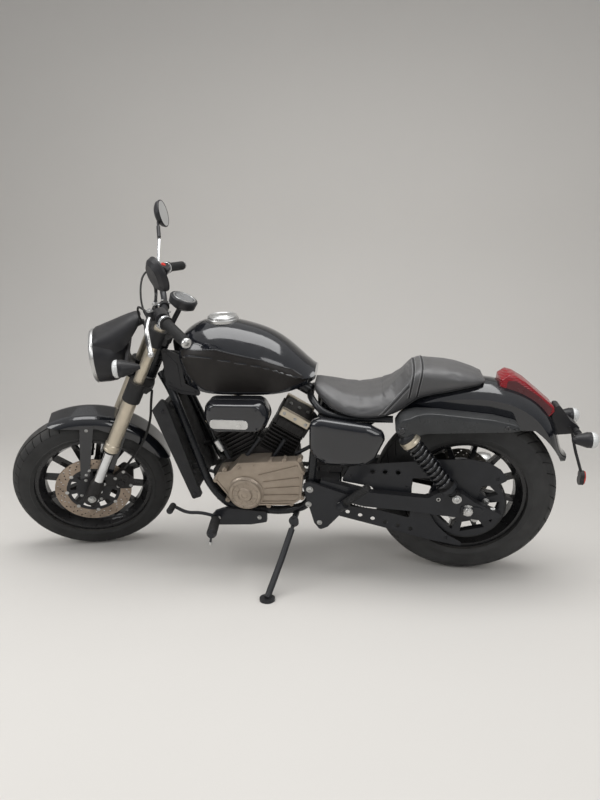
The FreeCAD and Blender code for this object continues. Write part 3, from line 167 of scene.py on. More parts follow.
class Spot(Enum):
    """The bodies that drawn pieces ride on, with where each one's drawing frame stands."""

    MAIN = ("main", BIKE)
    FRONT_END = ("front_end", FORKS)
    FRONT_WHEEL = ("front_wheel", FORKS @ Matrix.Translation(STANCE.front_axle * MM))
    REAR_WHEEL = ("rear_wheel", BIKE @ Matrix.Translation(STANCE.rear_axle * MM))

    @property
    def body(self) -> str:
        """Name of the CAD body."""
        return self.value[0]

    @property
    def matrix(self) -> Matrix:
        """From the drawing frame, in metres, to the row frame."""
        return self.value[1]


MAIN, FRONT_END, FRONT_WHEEL, REAR_WHEEL = Spot


# Finishes


class Graph:
    """A material's nodes, with short calls for the ones that the finishes use."""

    def __init__(self, name: str) -> None:
        """Starts a material with one Principled shader.

        Args:
            name: the material's name.
        """
        self.material = bpy.data.materials.new(name)
        self.material.use_nodes = True
        self.tree = self.material.node_tree
        self.shader = self.tree.nodes["Principled BSDF"]
        self.coordinates = self.add("ShaderNodeTexCoord").outputs["Object"]

    def draw_from(self, spot: Spot) -> None:
        """Takes coordinates in a drawing frame from here on.

        Args:
            spot: the spot whose frame it is.
        """
        place, turn, _ = spot.matrix.inverted().decompose()
        mapped = self.add(
            "ShaderNodeMapping", Vector=self.coordinates, Location=place, Rotation=turn.to_euler())
        self.coordinates = mapped.outputs["Vector"]

    def add(self, kind: str, **inputs: object) -> bpy.types.Node:
        """Adds a node and sets or links its inputs.

        Args:
            kind: the node's Blender type.
            inputs: values or output sockets by input name, with _ for a space.

        Returns:
            The node.
        """
        node = self.tree.nodes.new(kind)
        for name, value in inputs.items():
            self.put(node.inputs[name.replace("_", " ")], value)
        return node

    def put(self, socket: Socket, value: object) -> None:
        """Sets a socket's value, or links it.

        Args:
            socket: the input.
            value: a number, a colour or an output socket.
        """
        if isinstance(value, Socket):
            self.tree.links.new(value, socket)
        elif socket.type == "RGBA" and len(value) == 3:
            socket.default_value = (*value, 1.0)
        else:
            socket.default_value = value

    def shade(self, **inputs: object) -> None:
        """Sets or links inputs of the shader, with _ for a space."""
        for name, value in inputs.items():
            self.put(self.shader.inputs[name.replace("_", " ")], value)

    def tint(self, share: object, colour: Colour) -> None:
        """Mixes a share of a colour over what the shader has."""
        base = self.shader.inputs["Base Color"].links[0].from_socket
        self.shade(Base_Color=self.mix(share, base, colour))

    def axis(self, name: str) -> Socket:
        """One of the coordinates."""
        return self.add("ShaderNodeSeparateXYZ", Vector=self.coordinates).outputs[name]

    def wave(self, value: object, pitch: float) -> Socket:
        """A sine wave along a distance, its pitch in millimetres."""
        return self.math("SINE", self.math("MULTIPLY", value, 2 * pi / (pitch * MM)))

    def noise(self, size: float, detail: float = 3.0) -> Socket:
        """Cloudy noise of a real size.

        Args:
            size: size of a blotch in millimetres.
            detail: how many finer layers it has.

        Returns:
            The noise's value, about 0.5 on average.
        """
        made = self.add("ShaderNodeTexNoise", Vector=self.coordinates, Scale=1 / (size * MM), Detail=detail)
        return made.outputs["Fac"]

    def span(self, value: object, low: float, high: float, to_low: float, to_high: float) -> Socket:
        """Maps a range of values to another, clamped.

        Args:
            value: the output socket to map.
            low: its lower value.
            high: its upper value.
            to_low: result at the lower value.
            to_high: result at the upper value.

        Returns:
            The mapped value.
        """
        node = self.add("ShaderNodeMapRange", Value=value)
        for name, number in (("From Min", low), ("From Max", high), ("To Min", to_low), ("To Max", to_high)):
            node.inputs[name].default_value = number
        return node.outputs["Result"]

    def mix(self, share: object, first: object, second: object) -> Socket:
        """Mixes two colours.

        Args:
            share: share of the second colour.
            first: a colour or a colour output.
            second: a colour or a colour output.

        Returns:
            The mixed colour.
        """
        node = self.tree.nodes.new("ShaderNodeMix")
        node.data_type = "RGBA"
        self.put(node.inputs[0], share)
        self.put(node.inputs[6], first)
        self.put(node.inputs[7], second)
        return node.outputs[2]

    def math(self, kind: str, first: object, second: object = 0.0) -> Socket:
        """One sum on two values.

        Args:
            kind: Blender's name of the operation.
            first: a number or an output socket.
            second: a number or an output socket.

        Returns:
            The result.
        """
        node = self.tree.nodes.new("ShaderNodeMath")
        node.operation = kind
        self.put(node.inputs[0], first)
        self.put(node.inputs[1], second)
        return node.outputs[0]

    def bump(self, height: object, depth: float, base: object = None) -> Socket:
        """Raises the surface by a height map.

        Args:
            height: the height output, from 0 to 1.
            depth: depth in millimetres at height 1.
            base: a normal to add it to.

        Returns:
            The new normal.
        """
        node = self.add("ShaderNodeBump", Height=height, Distance=depth * MM, Strength=1.0)
        if base is not None:
            self.put(node.inputs["Normal"], base)
        return node.outputs["Normal"]

    def radius(self) -> Socket:
        """Distance from the drawing frame's Y axis."""
        squares = [self.math("MULTIPLY", way, way) for way in (self.axis("X"), self.axis("Z"))]
        return self.math("SQRT", self.math("ADD", *squares))


MADE: dict[str, bpy.types.Material] = {}
DUST_COLOUR = (0.33, 0.30, 0.26)
SCUFFED_GREY = (0.085, 0.083, 0.08)
LACQUER_ROUGHNESS = 0.03


@dataclass(frozen=True)
class Finish:
    """A painted, cast or moulded surface with its usual slot, grain, mottling, smudges and dust."""

    name: str
    slot: str
    colour: Colour
    roughness: float
    metallic: float = 0.0
    coat: float = 0.0
    grain: float = 1.2
    grain_depth: float = 0.02
    mottle: float = 0.10
    mottle_size: float = 45.0
    smudge: float = 0.08
    dust: float = 0.0
    edge: float = 0.8
    shine: float = 0.35

    def material(self) -> bpy.types.Material:
        """Makes the Blender material, or finds it where it is made already.

        Returns:
            The material.
        """
        if self.name not in MADE:
            graph = Graph(self.name)
            self.dress(graph)
            MADE[self.name] = graph.material
        return MADE[self.name]

    def dress(self, graph: Graph) -> None:
        """Sets the shader of a plain finish."""
        self.body(graph)
        self.surface(graph, graph.noise(self.grain, 2.0))

    def body(self, graph: Graph) -> None:
        """Sets colour and gloss, with mottling, smudges and dust.

        Args:
            graph: the material's nodes.
        """
        cloud = graph.noise(self.mottle_size, 4.0)
        dark = tuple(c * (1 - self.mottle) for c in self.colour)
        light = tuple(min(1.0, c * (1 + self.mottle)) for c in self.colour)
        colour = graph.mix(graph.span(cloud, 0.35, 0.65, 0.0, 1.0), dark, light)
        smear = graph.noise(self.mottle_size * 0.6, 5.0)
        rough = graph.span(
            smear, 0.3, 0.7, max(0.02, self.roughness - self.smudge), min(1.0, self.roughness + self.smudge))
        if self.dust:
            normal = graph.add("ShaderNodeNewGeometry").outputs["Normal"]
            facing = graph.add("ShaderNodeSeparateXYZ", Vector=normal).outputs["Z"]
            upward = graph.span(facing, 0.1, 0.95, 0.0, 1.0)
            settled = graph.math("MULTIPLY", upward, graph.noise(14.0, 6.0))
            settled = graph.math("MULTIPLY", settled, self.dust)
            colour = graph.mix(settled, colour, DUST_COLOUR)
            rough = graph.math("ADD", rough, settled)
        graph.shade(
            Base_Color=colour, Roughness=rough, Metallic=self.metallic, Specular_IOR_Level=self.shine,
            Coat_Weight=self.coat, Coat_Roughness=LACQUER_ROUGHNESS)

    def surface(self, graph: Graph, height: Socket) -> None:
        """Sets the surface's relief over softly rounded edges.

        Args:
            graph: the material's nodes.
            height: the grain's height.
        """
        base = None
        if self.edge:
            bevel = graph.add("ShaderNodeBevel", Radius=self.edge * MM)
            bevel.samples = 4
            base = bevel.outputs["Normal"]
        graph.shade(Normal=graph.bump(height, self.grain_depth, base))
        if self.coat and self.edge:
            graph.shade(Coat_Normal=base)


@dataclass(frozen=True)
class Vinyl(Finish):
    """Grained seat vinyl with a soft sheen."""

    pebble: float = 1.7

    def dress(self, graph: Graph) -> None:
        """Adds the fine leather grain and the sheen.

        Args:
            graph: the material's nodes.
        """
        self.body(graph)
        cells = graph.add("ShaderNodeTexVoronoi", Vector=graph.coordinates, Scale=1 / (self.pebble * MM))
        cells.feature = "SMOOTH_F1"
        pebble = graph.span(cells.outputs["Distance"], 0.0, 0.55, 1.0, 0.0)
        crease = graph.math("MULTIPLY", graph.noise(3.5, 4.0), 0.5)
        self.surface(graph, graph.math("ADD", pebble, crease))
        graph.shade(Sheen_Weight=0.12, Sheen_Roughness=0.4)


@dataclass(frozen=True)
class TyreRubber(Finish):
    """Tyre rubber: grey dust on the flanks, fine moulding rings, scuffed tread."""

    spot: Spot = FRONT_WHEEL
    rim: float = 215.0
    outside: float = 299.0

    def dress(self, graph: Graph) -> None:
        """Adds rings about the axle and dust towards the tread.

        Args:
            graph: the material's nodes.
        """
        graph.draw_from(self.spot)
        self.body(graph)
        radius = graph.radius()
        rings = graph.wave(radius, 2.6)
        wall = graph.span(radius, (self.rim + 8) * MM, (self.outside - 38) * MM, 0.0, 1.0)
        worn = graph.span(radius, (self.outside - 14) * MM, self.outside * MM, 0.0, 1.0)
        fine = graph.math(
            "MULTIPLY", rings, graph.math("SUBTRACT", 0.25, graph.math("MULTIPLY", wall, 0.25)))
        scuff = graph.math("MULTIPLY", graph.noise(0.9, 6.0), 1.4)
        self.surface(graph, graph.math("ADD", fine, scuff))
        patchy = graph.span(graph.noise(22.0, 5.0), 0.35, 0.7, 0.15, 0.75)
        graph.tint(graph.math("MULTIPLY", worn, patchy), SCUFFED_GREY)


@dataclass(frozen=True)
class TurnedMetal(Finish):
    """Bare metal with fine rings turned about the drawing frame's Y axis."""

    spot: Spot = FRONT_WHEEL
    ring: float = 0.9

    def dress(self, graph: Graph) -> None:
        """Adds the turning marks.

        Args:
            graph: the material's nodes.
        """
        graph.draw_from(self.spot)
        self.body(graph)
        radius = graph.radius()
        combined = graph.add("ShaderNodeCombineXYZ", X=radius)
        marks = graph.add(
            "ShaderNodeTexNoise", Vector=combined.outputs["Vector"], Scale=1 / (self.ring * MM), Detail=4.0)
        self.surface(graph, marks.outputs["Fac"])
        graph.tint(
            graph.span(marks.outputs["Fac"], 0.3, 0.7, 0.0, 0.35), tuple(c * 0.55 for c in self.colour))


@dataclass(frozen=True)
class CoreFins(Finish):
    """Radiator core: upright tubes with fine folded fins between them."""

    tube_pitch: float = 10.0
    fin_pitch: float = 2.2

    def dress(self, graph: Graph) -> None:
        """Adds the tubes side by side and the fins one above the other.

        Args:
            graph: the material's nodes.
        """
        graph.draw_from(MAIN)
        self.body(graph)
        tube = graph.wave(graph.axis("Y"), self.tube_pitch)
        fin = graph.wave(graph.axis("Z"), self.fin_pitch)
        both = graph.math("ADD", graph.span(tube, 0.6, 0.9, 0.0, 1.0), graph.math("MULTIPLY", fin, 0.3))
        self.surface(graph, both)


@dataclass(frozen=True)
class Glass(Finish):
    """Clear or coloured plastic that light passes through, with moulded ribs inside."""

    rib: float = 6.0
    clear: float = 0.9

    def dress(self, graph: Graph) -> None:
        """Sets a see-through shader with ribs.

        Args:
            graph: the material's nodes.
        """
        smear = graph.noise(self.mottle_size, 4.0)
        rough = graph.span(smear, 0.3, 0.7, self.roughness, self.roughness + self.smudge)
        graph.shade(
            Base_Color=self.colour, Transmission_Weight=self.clear, IOR=1.45, Coat_Weight=self.coat,
            Roughness=rough)
        ribs = graph.wave(graph.axis("Z"), self.rib)
        graph.shade(Normal=graph.bump(ribs, self.grain_depth))


GLOSS_BLACK = Finish(
    "GlossBlackPaint", "gloss_black", (0.006, 0.007, 0.010), 0.14, coat=0.9, grain=0.35, grain_depth=0.004,
    smudge=0.05, mottle=0.15, dust=0.03)
SATIN_BLACK = Finish(
    "SatinBlackPaint", "matte_black", (0.014, 0.015, 0.018), 0.36, grain=1.1, grain_depth=0.018, dust=0.06)
RAIL_BLACK = Finish(
    "RailBlackPaint", "plastic", (0.034, 0.036, 0.038), 0.32, grain=1.0, grain_depth=0.015, dust=0.06)
FRAME_BLACK = Finish(
    "FrameBlackPaint", "", (0.009, 0.010, 0.012), 0.28, grain=1.4, grain_depth=0.02, dust=0.05)
MATTE_BLACK = Finish(
    "MatteBlackPaint", "matte_black", (0.014, 0.014, 0.015), 0.50, grain=0.7, grain_depth=0.03, dust=0.08)
PANEL_BLACK = Finish(
    "TankPanelPaint", "gloss_black", (0.016, 0.014, 0.013), 0.42, grain=0.5, grain_depth=0.012, shine=0.25)
CAST_BLACK = Finish(
    "CastBlackAlloy", "matte_black", (0.017, 0.016, 0.016), 0.48, metallic=0.2, grain=0.9, grain_depth=0.06,
    mottle=0.2, dust=0.10)
WHEEL_BLACK = Finish(
    "WheelBlackPaint", "", (0.010, 0.010, 0.011), 0.30, coat=0.3, grain=0.8, grain_depth=0.015, dust=0.06)
BRONZE = Finish(
    "BronzeCaseCoat", "bronze", (0.34, 0.285, 0.23), 0.38, metallic=0.6, grain=0.8, grain_depth=0.03,
    mottle=0.08, dust=0.05)
CHAMPAGNE = Finish(
    "ChampagneAnodise", "champagne", (0.56, 0.50, 0.40), 0.34, metallic=0.75, grain=0.6, grain_depth=0.012,
    mottle=0.05, smudge=0.06)
SILVER = Finish(
    "SilverAlloy", "steel", (0.58, 0.58, 0.57), 0.32, metallic=0.9, grain=0.5, grain_depth=0.012,
    mottle=0.06)
CHROME = Finish(
    "Chrome", "chrome", (0.72, 0.73, 0.74), 0.09, metallic=1.0, grain=0.6, grain_depth=0.003, mottle=0.04,
    smudge=0.05)
STEEL = Finish(
    "ZincSteel", "steel", (0.48, 0.48, 0.47), 0.34, metallic=0.95, grain=0.4, grain_depth=0.02, mottle=0.12)
DISC_FACE = TurnedMetal(
    "BrakeDiscFace", "disc_steel", (0.36, 0.29, 0.23), 0.36, metallic=0.85, grain_depth=0.015, mottle=0.2,
    edge=0.3)
REAR_DISC_FACE = TurnedMetal(
    "RearDiscFace", "disc_steel", (0.20, 0.185, 0.165), 0.45, metallic=0.85, grain_depth=0.015, mottle=0.2,
    edge=0.3, spot=REAR_WHEEL)
DISC_HUB = TurnedMetal(
    "DiscCarrier", "matte_black", (0.03, 0.03, 0.032), 0.4, metallic=0.3, grain_depth=0.01, edge=0.3)
FRONT_RUBBER = TyreRubber(
    "FrontTyreRubber", "tyre", (0.020, 0.020, 0.020), 0.62, grain_depth=0.05, mottle=0.2, mottle_size=70.0,
    dust=0.18, edge=0.7)
REAR_RUBBER = TyreRubber(
    "RearTyreRubber", "tyre", (0.032, 0.032, 0.032), 0.64, grain_depth=0.05, mottle=0.2, mottle_size=80.0,
    dust=0.18, edge=0.7, outside=323.0, spot=REAR_WHEEL)
RUBBER = Finish(
    "MouldedRubber", "rubber", (0.014, 0.014, 0.014), 0.60, grain=1.0, grain_depth=0.05, dust=0.06)
PLASTIC = Finish(
    "BlackPlastic", "plastic", (0.017, 0.017, 0.019), 0.40, grain=0.5, grain_depth=0.05, dust=0.07)
SEAT_VINYL = Vinyl(
    "SeatVinyl", "seat_cover", (0.050, 0.050, 0.052), 0.44, grain_depth=0.16, mottle=0.10, mottle_size=90.0,
    dust=0.12, edge=0.0, shine=0.8)
# Seat piping: real cords, coloured much darker than the seat's vinyl as painted shade of the seam grooves.
PIPING_PAINTED_SHADE = Vinyl(
    "SeatPipingPaintedShade", "seat_cover", (0.014, 0.014, 0.015), 0.50, grain_depth=0.10, edge=0.0, shine=0.3)
# Stitching thread: its pale colour is partly real thread and partly a painted highlight along the seams.
THREAD_PAINTED_HIGHLIGHT = Finish("SeatThreadPaintedHighlight", "seat_cover", (0.26, 0.26, 0.265), 0.7, grain=0.3, grain_depth=0.05, edge=0.0)
RADIATOR = CoreFins("RadiatorCore", "", (0.025, 0.025, 0.026), 0.5, metallic=0.4, grain_depth=1.2, dust=0.1)
CLEAR = Glass("ClearLens", "clear", (0.96, 0.97, 0.98), 0.03, coat=0.5, grain_depth=0.25, smudge=0.04)
PALE_LENS = Glass(
    "PaleLens", "clear", (0.88, 0.89, 0.88), 0.10, coat=0.8, grain_depth=0.3, clear=0.3, rib=5.0)
RED = Glass(
    "RedLens", "red_lens", (0.30, 0.006, 0.014), 0.16, coat=0.15, grain_depth=0.4, clear=0.2, rib=7.0)
DARK_RED = Finish(
    "TailLightInner", "red_lens", (0.075, 0.004, 0.008), 0.22, coat=0.4, grain=0.6, grain_depth=0.01)
REFLECTOR = Glass(
    "RedReflector", "red_lens", (0.75, 0.05, 0.03), 0.12, coat=1.0, grain_depth=0.6, clear=0.2, rib=3.0)
MIRROR = Finish(
    "MirrorGlass", "chrome", (0.78, 0.80, 0.82), 0.02, metallic=1.0, grain=8.0, grain_depth=0.002,
    mottle=0.02, smudge=0.01, edge=0.0)
DIAL = Finish(
    "DialFace", "plastic", (0.16, 0.165, 0.17), 0.15, coat=1.0, grain=0.5, grain_depth=0.004, edge=0.0)
RED_SWITCH = Finish("RedSwitch", "red_lens", (0.55, 0.03, 0.02), 0.35, grain=0.5, grain_depth=0.02)


# Shapes


def unit(direction: Point) -> Vector:
    """A direction at length one."""
    return Vector(direction).normalized()


def across(direction: Vector) -> tuple[Vector, Vector]:
    """Two directions square to a unit direction and to each other."""
    side = direction.cross(Z if abs(direction.z) < 0.9 else X).normalized()
    return side, direction.cross(side)


class Shape:
    """Meshes in millimetres, gathered into one piece."""

    def __init__(self) -> None:
        """Starts with nothing."""
        self.bm = bmesh.new()

    def loft(self, rings: Sequence[Sequence[Vector]], caps: bool = True, loop: bool = False) -> "Shape":
        """Skins closed rings of points that all have the same count.

        Args:
            rings: the rings, in order.
            caps: whether the first and last ring are filled.
            loop: whether the last ring joins the first instead.

        Returns:
            This shape.
        """
        rows = [[self.bm.verts.new(p) for p in ring] for ring in rings]
        count = len(rows[0])
        for near, far in zip(rows, rows[1:] + rows[:1] if loop else rows[1:]):
            for i in range(count):
                j = (i + 1) % count
                self.bm.faces.new((near[i], near[j], far[j], far[i]))
        if caps and not loop:
            self.bm.faces.new(rows[0][::-1])
            self.bm.faces.new(rows[-1])
        return self

    def turned(self, start: Point, direction: Point, steps: Path, sides: int = 48, hollow: bool = False,
               caps: bool = True) -> "Shape":
        """A lathe piece.

        Args:
            start: where distances are counted from.
            direction: the axis.
            steps: (distance, radius) or (distance, radius, flats), flats for a hexagon's outline.
            sides: points round each ring.
            hollow: whether the steps go once round a ring's section.
            caps: whether its ends are filled.

        Returns:
            This shape.
        """
        along = unit(direction)
        side, over = across(along)
        rings = []
        for step in steps:
            ring = []
            for i in range(sides):
                angle = 2 * pi * i / sides
                radius = step[1]
                if len(step) > 2:
                    flat = angle % (pi / 3) - pi / 6
                    radius *= cos(pi / 6) / cos(flat)
                out = side * cos(angle) + over * sin(angle)
                ring.append(Vector(start) + along * step[0] + out * radius)
            rings.append(ring)
        return self.loft(rings, caps, hollow)

    def bolt_circle(self, centre: Point, direction: Vector, reach: float, count: int, first: float,
                    radius: float) -> "Shape":
        """Cap screws round a circle.

        Args:
            centre: the circle's centre.
            direction: the way the heads face, along Y.
            reach: the circle's radius.
            count: how many there are.
            first: angle of the first one, in degrees.
            radius: radius of a head.

        Returns:
            This shape.
        """
        for i in range(count):
            x, z = polar(reach, first + 360 / count * i)
            self.bolt(Vector(centre) + Vector((x, 0, z)), direction, radius)
        return self

    def bolt(self, at: Point, direction: Point, radius: float, height: float = 0.0) -> "Shape":
        """A cap screw's head with its hexagon socket, on a washer.

        Args:
            at: centre of the head's foot.
            direction: the way the head faces.
            radius: radius of the head.
            height: height of the head, or 0 for the usual share of its radius.

        Returns:
            This shape.
        """
        tall = height or radius * 0.9
        steps = [
            (0, radius * 1.35), (tall * 0.22, radius * 1.35), (tall * 0.22, radius), (tall * 0.86, radius),
            (tall, radius * 0.86), (tall, radius * 0.56, 6), (tall * 0.45, radius * 0.5, 6)]
        return self.turned(at, direction, steps, 24)

    def nut(self, at: Point, direction: Point, radius: float, height: float, stud: float = 0.5) -> "Shape":
        """A hexagon nut on its foot's centre, with the end of its stud, given as a share of its radius."""
        steps = [
            (0, radius * 1.2), (height * 0.15, radius * 1.2), (height * 0.15, radius, 6),
            (height * 0.9, radius, 6), (height, radius * 0.8), (height, radius * stud),
            (height * 1.25, radius * stud), (height * 1.35, radius * stud * 0.8)]
        return self.turned(at, direction, steps, 24)

    def tube(self, points: Path, radius: float, sides: int = 4) -> "Shape":
        """A smooth round tube near a row of points.

        Args:
            points: points of its line.
            radius: the tube's radius.
            sides: how finely its section is made.

        Returns:
            This shape.
        """
        curve = bpy.data.curves.new("tube", "CURVE")
        curve.dimensions = "3D"
        line = curve.splines.new("NURBS")
        line.points.add(len(points) - 1)
        for spot, point in zip(line.points, points):
            spot.co = (*point, 1.0)
        line.order_u = 3
        line.use_endpoint_u = True
        line.resolution_u = 8
        curve.bevel_depth = radius
        curve.bevel_resolution = sides
        curve.use_fill_caps = True
        return self.curve(curve)

    def curve(self, curve: bpy.types.Curve, matrix: Matrix | None = None) -> "Shape":
        """Adds the mesh of a curve and drops the curve.

        Args:
            curve: the curve data.
            matrix: where it goes.

        Returns:
            This shape.
        """
        holder = bpy.data.objects.new("holder", curve)
        mesh = bpy.data.meshes.new_from_object(holder)
        if matrix:
            mesh.transform(matrix)
        self.bm.from_mesh(mesh)
        bpy.data.objects.remove(holder)
        bpy.data.curves.remove(curve)
        bpy.data.meshes.remove(mesh)
        return self

    def plate(self, outlines: Sequence[Path], low: float, high: float, bevel: float = 0.4,
              matrix: Matrix | None = None) -> "Shape":
        """A flat plate with holes, drawn in X and Z and standing between two Y planes.

        Args:
            outlines: closed outlines; one inside another is a hole.
            low: the lower Y.
            high: the higher Y.
            bevel: rounding of its edges.
            matrix: where the plate goes.

        Returns:
            This shape.
        """
        curve = bpy.data.curves.new("plate", "CURVE")
        curve.dimensions = "2D"
        curve.fill_mode = "BOTH"
        for outline in outlines:
            line = curve.splines.new("POLY")
            line.points.add(len(outline) - 1)
            for spot, (px, pz) in zip(line.points, outline):
                spot.co = (px, pz, 0, 1)
            line.use_cyclic_u = True
        curve.extrude = (high - low) / 2 - bevel
        curve.bevel_depth = bevel
        curve.bevel_resolution = 1
        curve.offset = -bevel
        stand = Matrix.Translation((0, (low + high) / 2, 0)) @ Matrix.Rotation(pi / 2, 4, X)
        return self.curve(curve, matrix @ stand if matrix else stand)

    def slabs(self, outline: Path, low: float, high: float, bevel: float = 1.0) -> "Shape":
        """A plate with no holes."""
        return self.plate([outline], low, high, bevel)

    def piece(self, name: str, spot: Spot, finish: Finish, angle: float = 32.0, slot: str = "") -> Thing:
        """Makes the object, in place and riding on its body.

        Args:
            name: the piece's name.
            spot: the body that it rides on.
            finish: its finish.
            angle: edges sharper than this many degrees stay sharp.
            slot: the record's material slot, where it isn't the finish's usual one; not used.

        Returns:
            The object.
        """
        mesh = self.mesh(name)
        mesh.transform(spot.matrix)
        mesh.shade_smooth()
        mesh.set_sharp_from_angle(angle=radians(angle))
        thing = stood(name, mesh, finish)
        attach(thing, spot.body)
        slot = slot or finish.slot
        return thing

    def mesh(self, name: str) -> bpy.types.Mesh:
        """Ends the shape as a mesh in metres, still in the drawing frame.

        Args:
            name: the mesh's name.

        Returns:
            The mesh.
        """
        bmesh.ops.recalc_face_normals(self.bm, faces=self.bm.faces)
        mesh = bpy.data.meshes.new(name)
        self.bm.to_mesh(mesh)
        self.bm.free()
        mesh.transform(Matrix.Scale(MM, 4))
        return mesh


def stood(name: str, mesh: bpy.types.Mesh, finish: Finish) -> Thing:
    """Makes an object of a mesh, in its finish.

    Args:
        name: the object's name.
        mesh: its mesh.
        finish: its finish.

    Returns:
        The object.
    """
    thing = bpy.data.objects.new(name, mesh)
    thing.data.materials.append(finish.material())
    bpy.context.scene.collection.objects.link(thing)
    return thing


def shapes(count: int) -> list[Shape]:
    """Empty shapes."""
    return [Shape() for _ in range(count)]


def show(spot: Spot, *rows: tuple) -> None:
    """Stands up pieces that ride on one body, from (shape, name, finish, angle) rows."""
    for shape, name, *dressing in rows:
        shape.piece(name, spot, *dressing)


def polar(radius: float, angle: float) -> tuple[float, float]:
    """A point in X and Z at a radius and an angle in degrees."""
    return radius * cos(radians(angle)), radius * sin(radians(angle))


def ring_points(radius: float, count: int, x: float = 0.0, z: float = 0.0) -> list[Point]:
    """Points of a circle about a centre in X and Z."""
    points = [polar(radius, 360 * i / count) for i in range(count)]
    return [(x + a, z + b) for a, b in points]


def window(inner: float, outer: float, first: float, last: float) -> list[Point]:
    """Outline of a window between two radii and two angles in degrees."""
    angles = [first + (last - first) * i / 11 for i in range(12)]
    return [polar(outer, a) for a in angles] + [polar(inner, a) for a in angles[::-1]]


def drilled(circles: Sequence[float], count: int, step: float, radius: float) -> list[list[Point]]:
    """Outlines of so many holes on each circle, each circle turned on by a step in degrees."""
    places = [
        polar(reach, 360 / count * i + step * k) for i in range(count) for k, reach in enumerate(circles)]
    return [ring_points(radius, 12, *place) for place in places]


def ribs(start: float, end: float, pitch: float, rib: Path) -> list[Point]:
    """Steps of a turned part whose ribs repeat along it.

    Args:
        start: place of the first rib.
        end: no rib starts at or beyond it.
        pitch: distance from one rib to the next.
        rib: (distance, radius) steps of one rib.

    Returns:
        The steps.
    """
    steps = []
    while start < end:
        steps += [(start + along, radius) for along, radius in rib]
        start += pitch
    return steps


def layers(outline: Path, steps: Path) -> list[list[Vector]]:
    """Rings of a slab whose faces are drawn in, from (Y, distance moved inward) steps."""
    return [[Vector((x, out, z)) for x, z in inset(outline, shrink)] for out, shrink in steps]


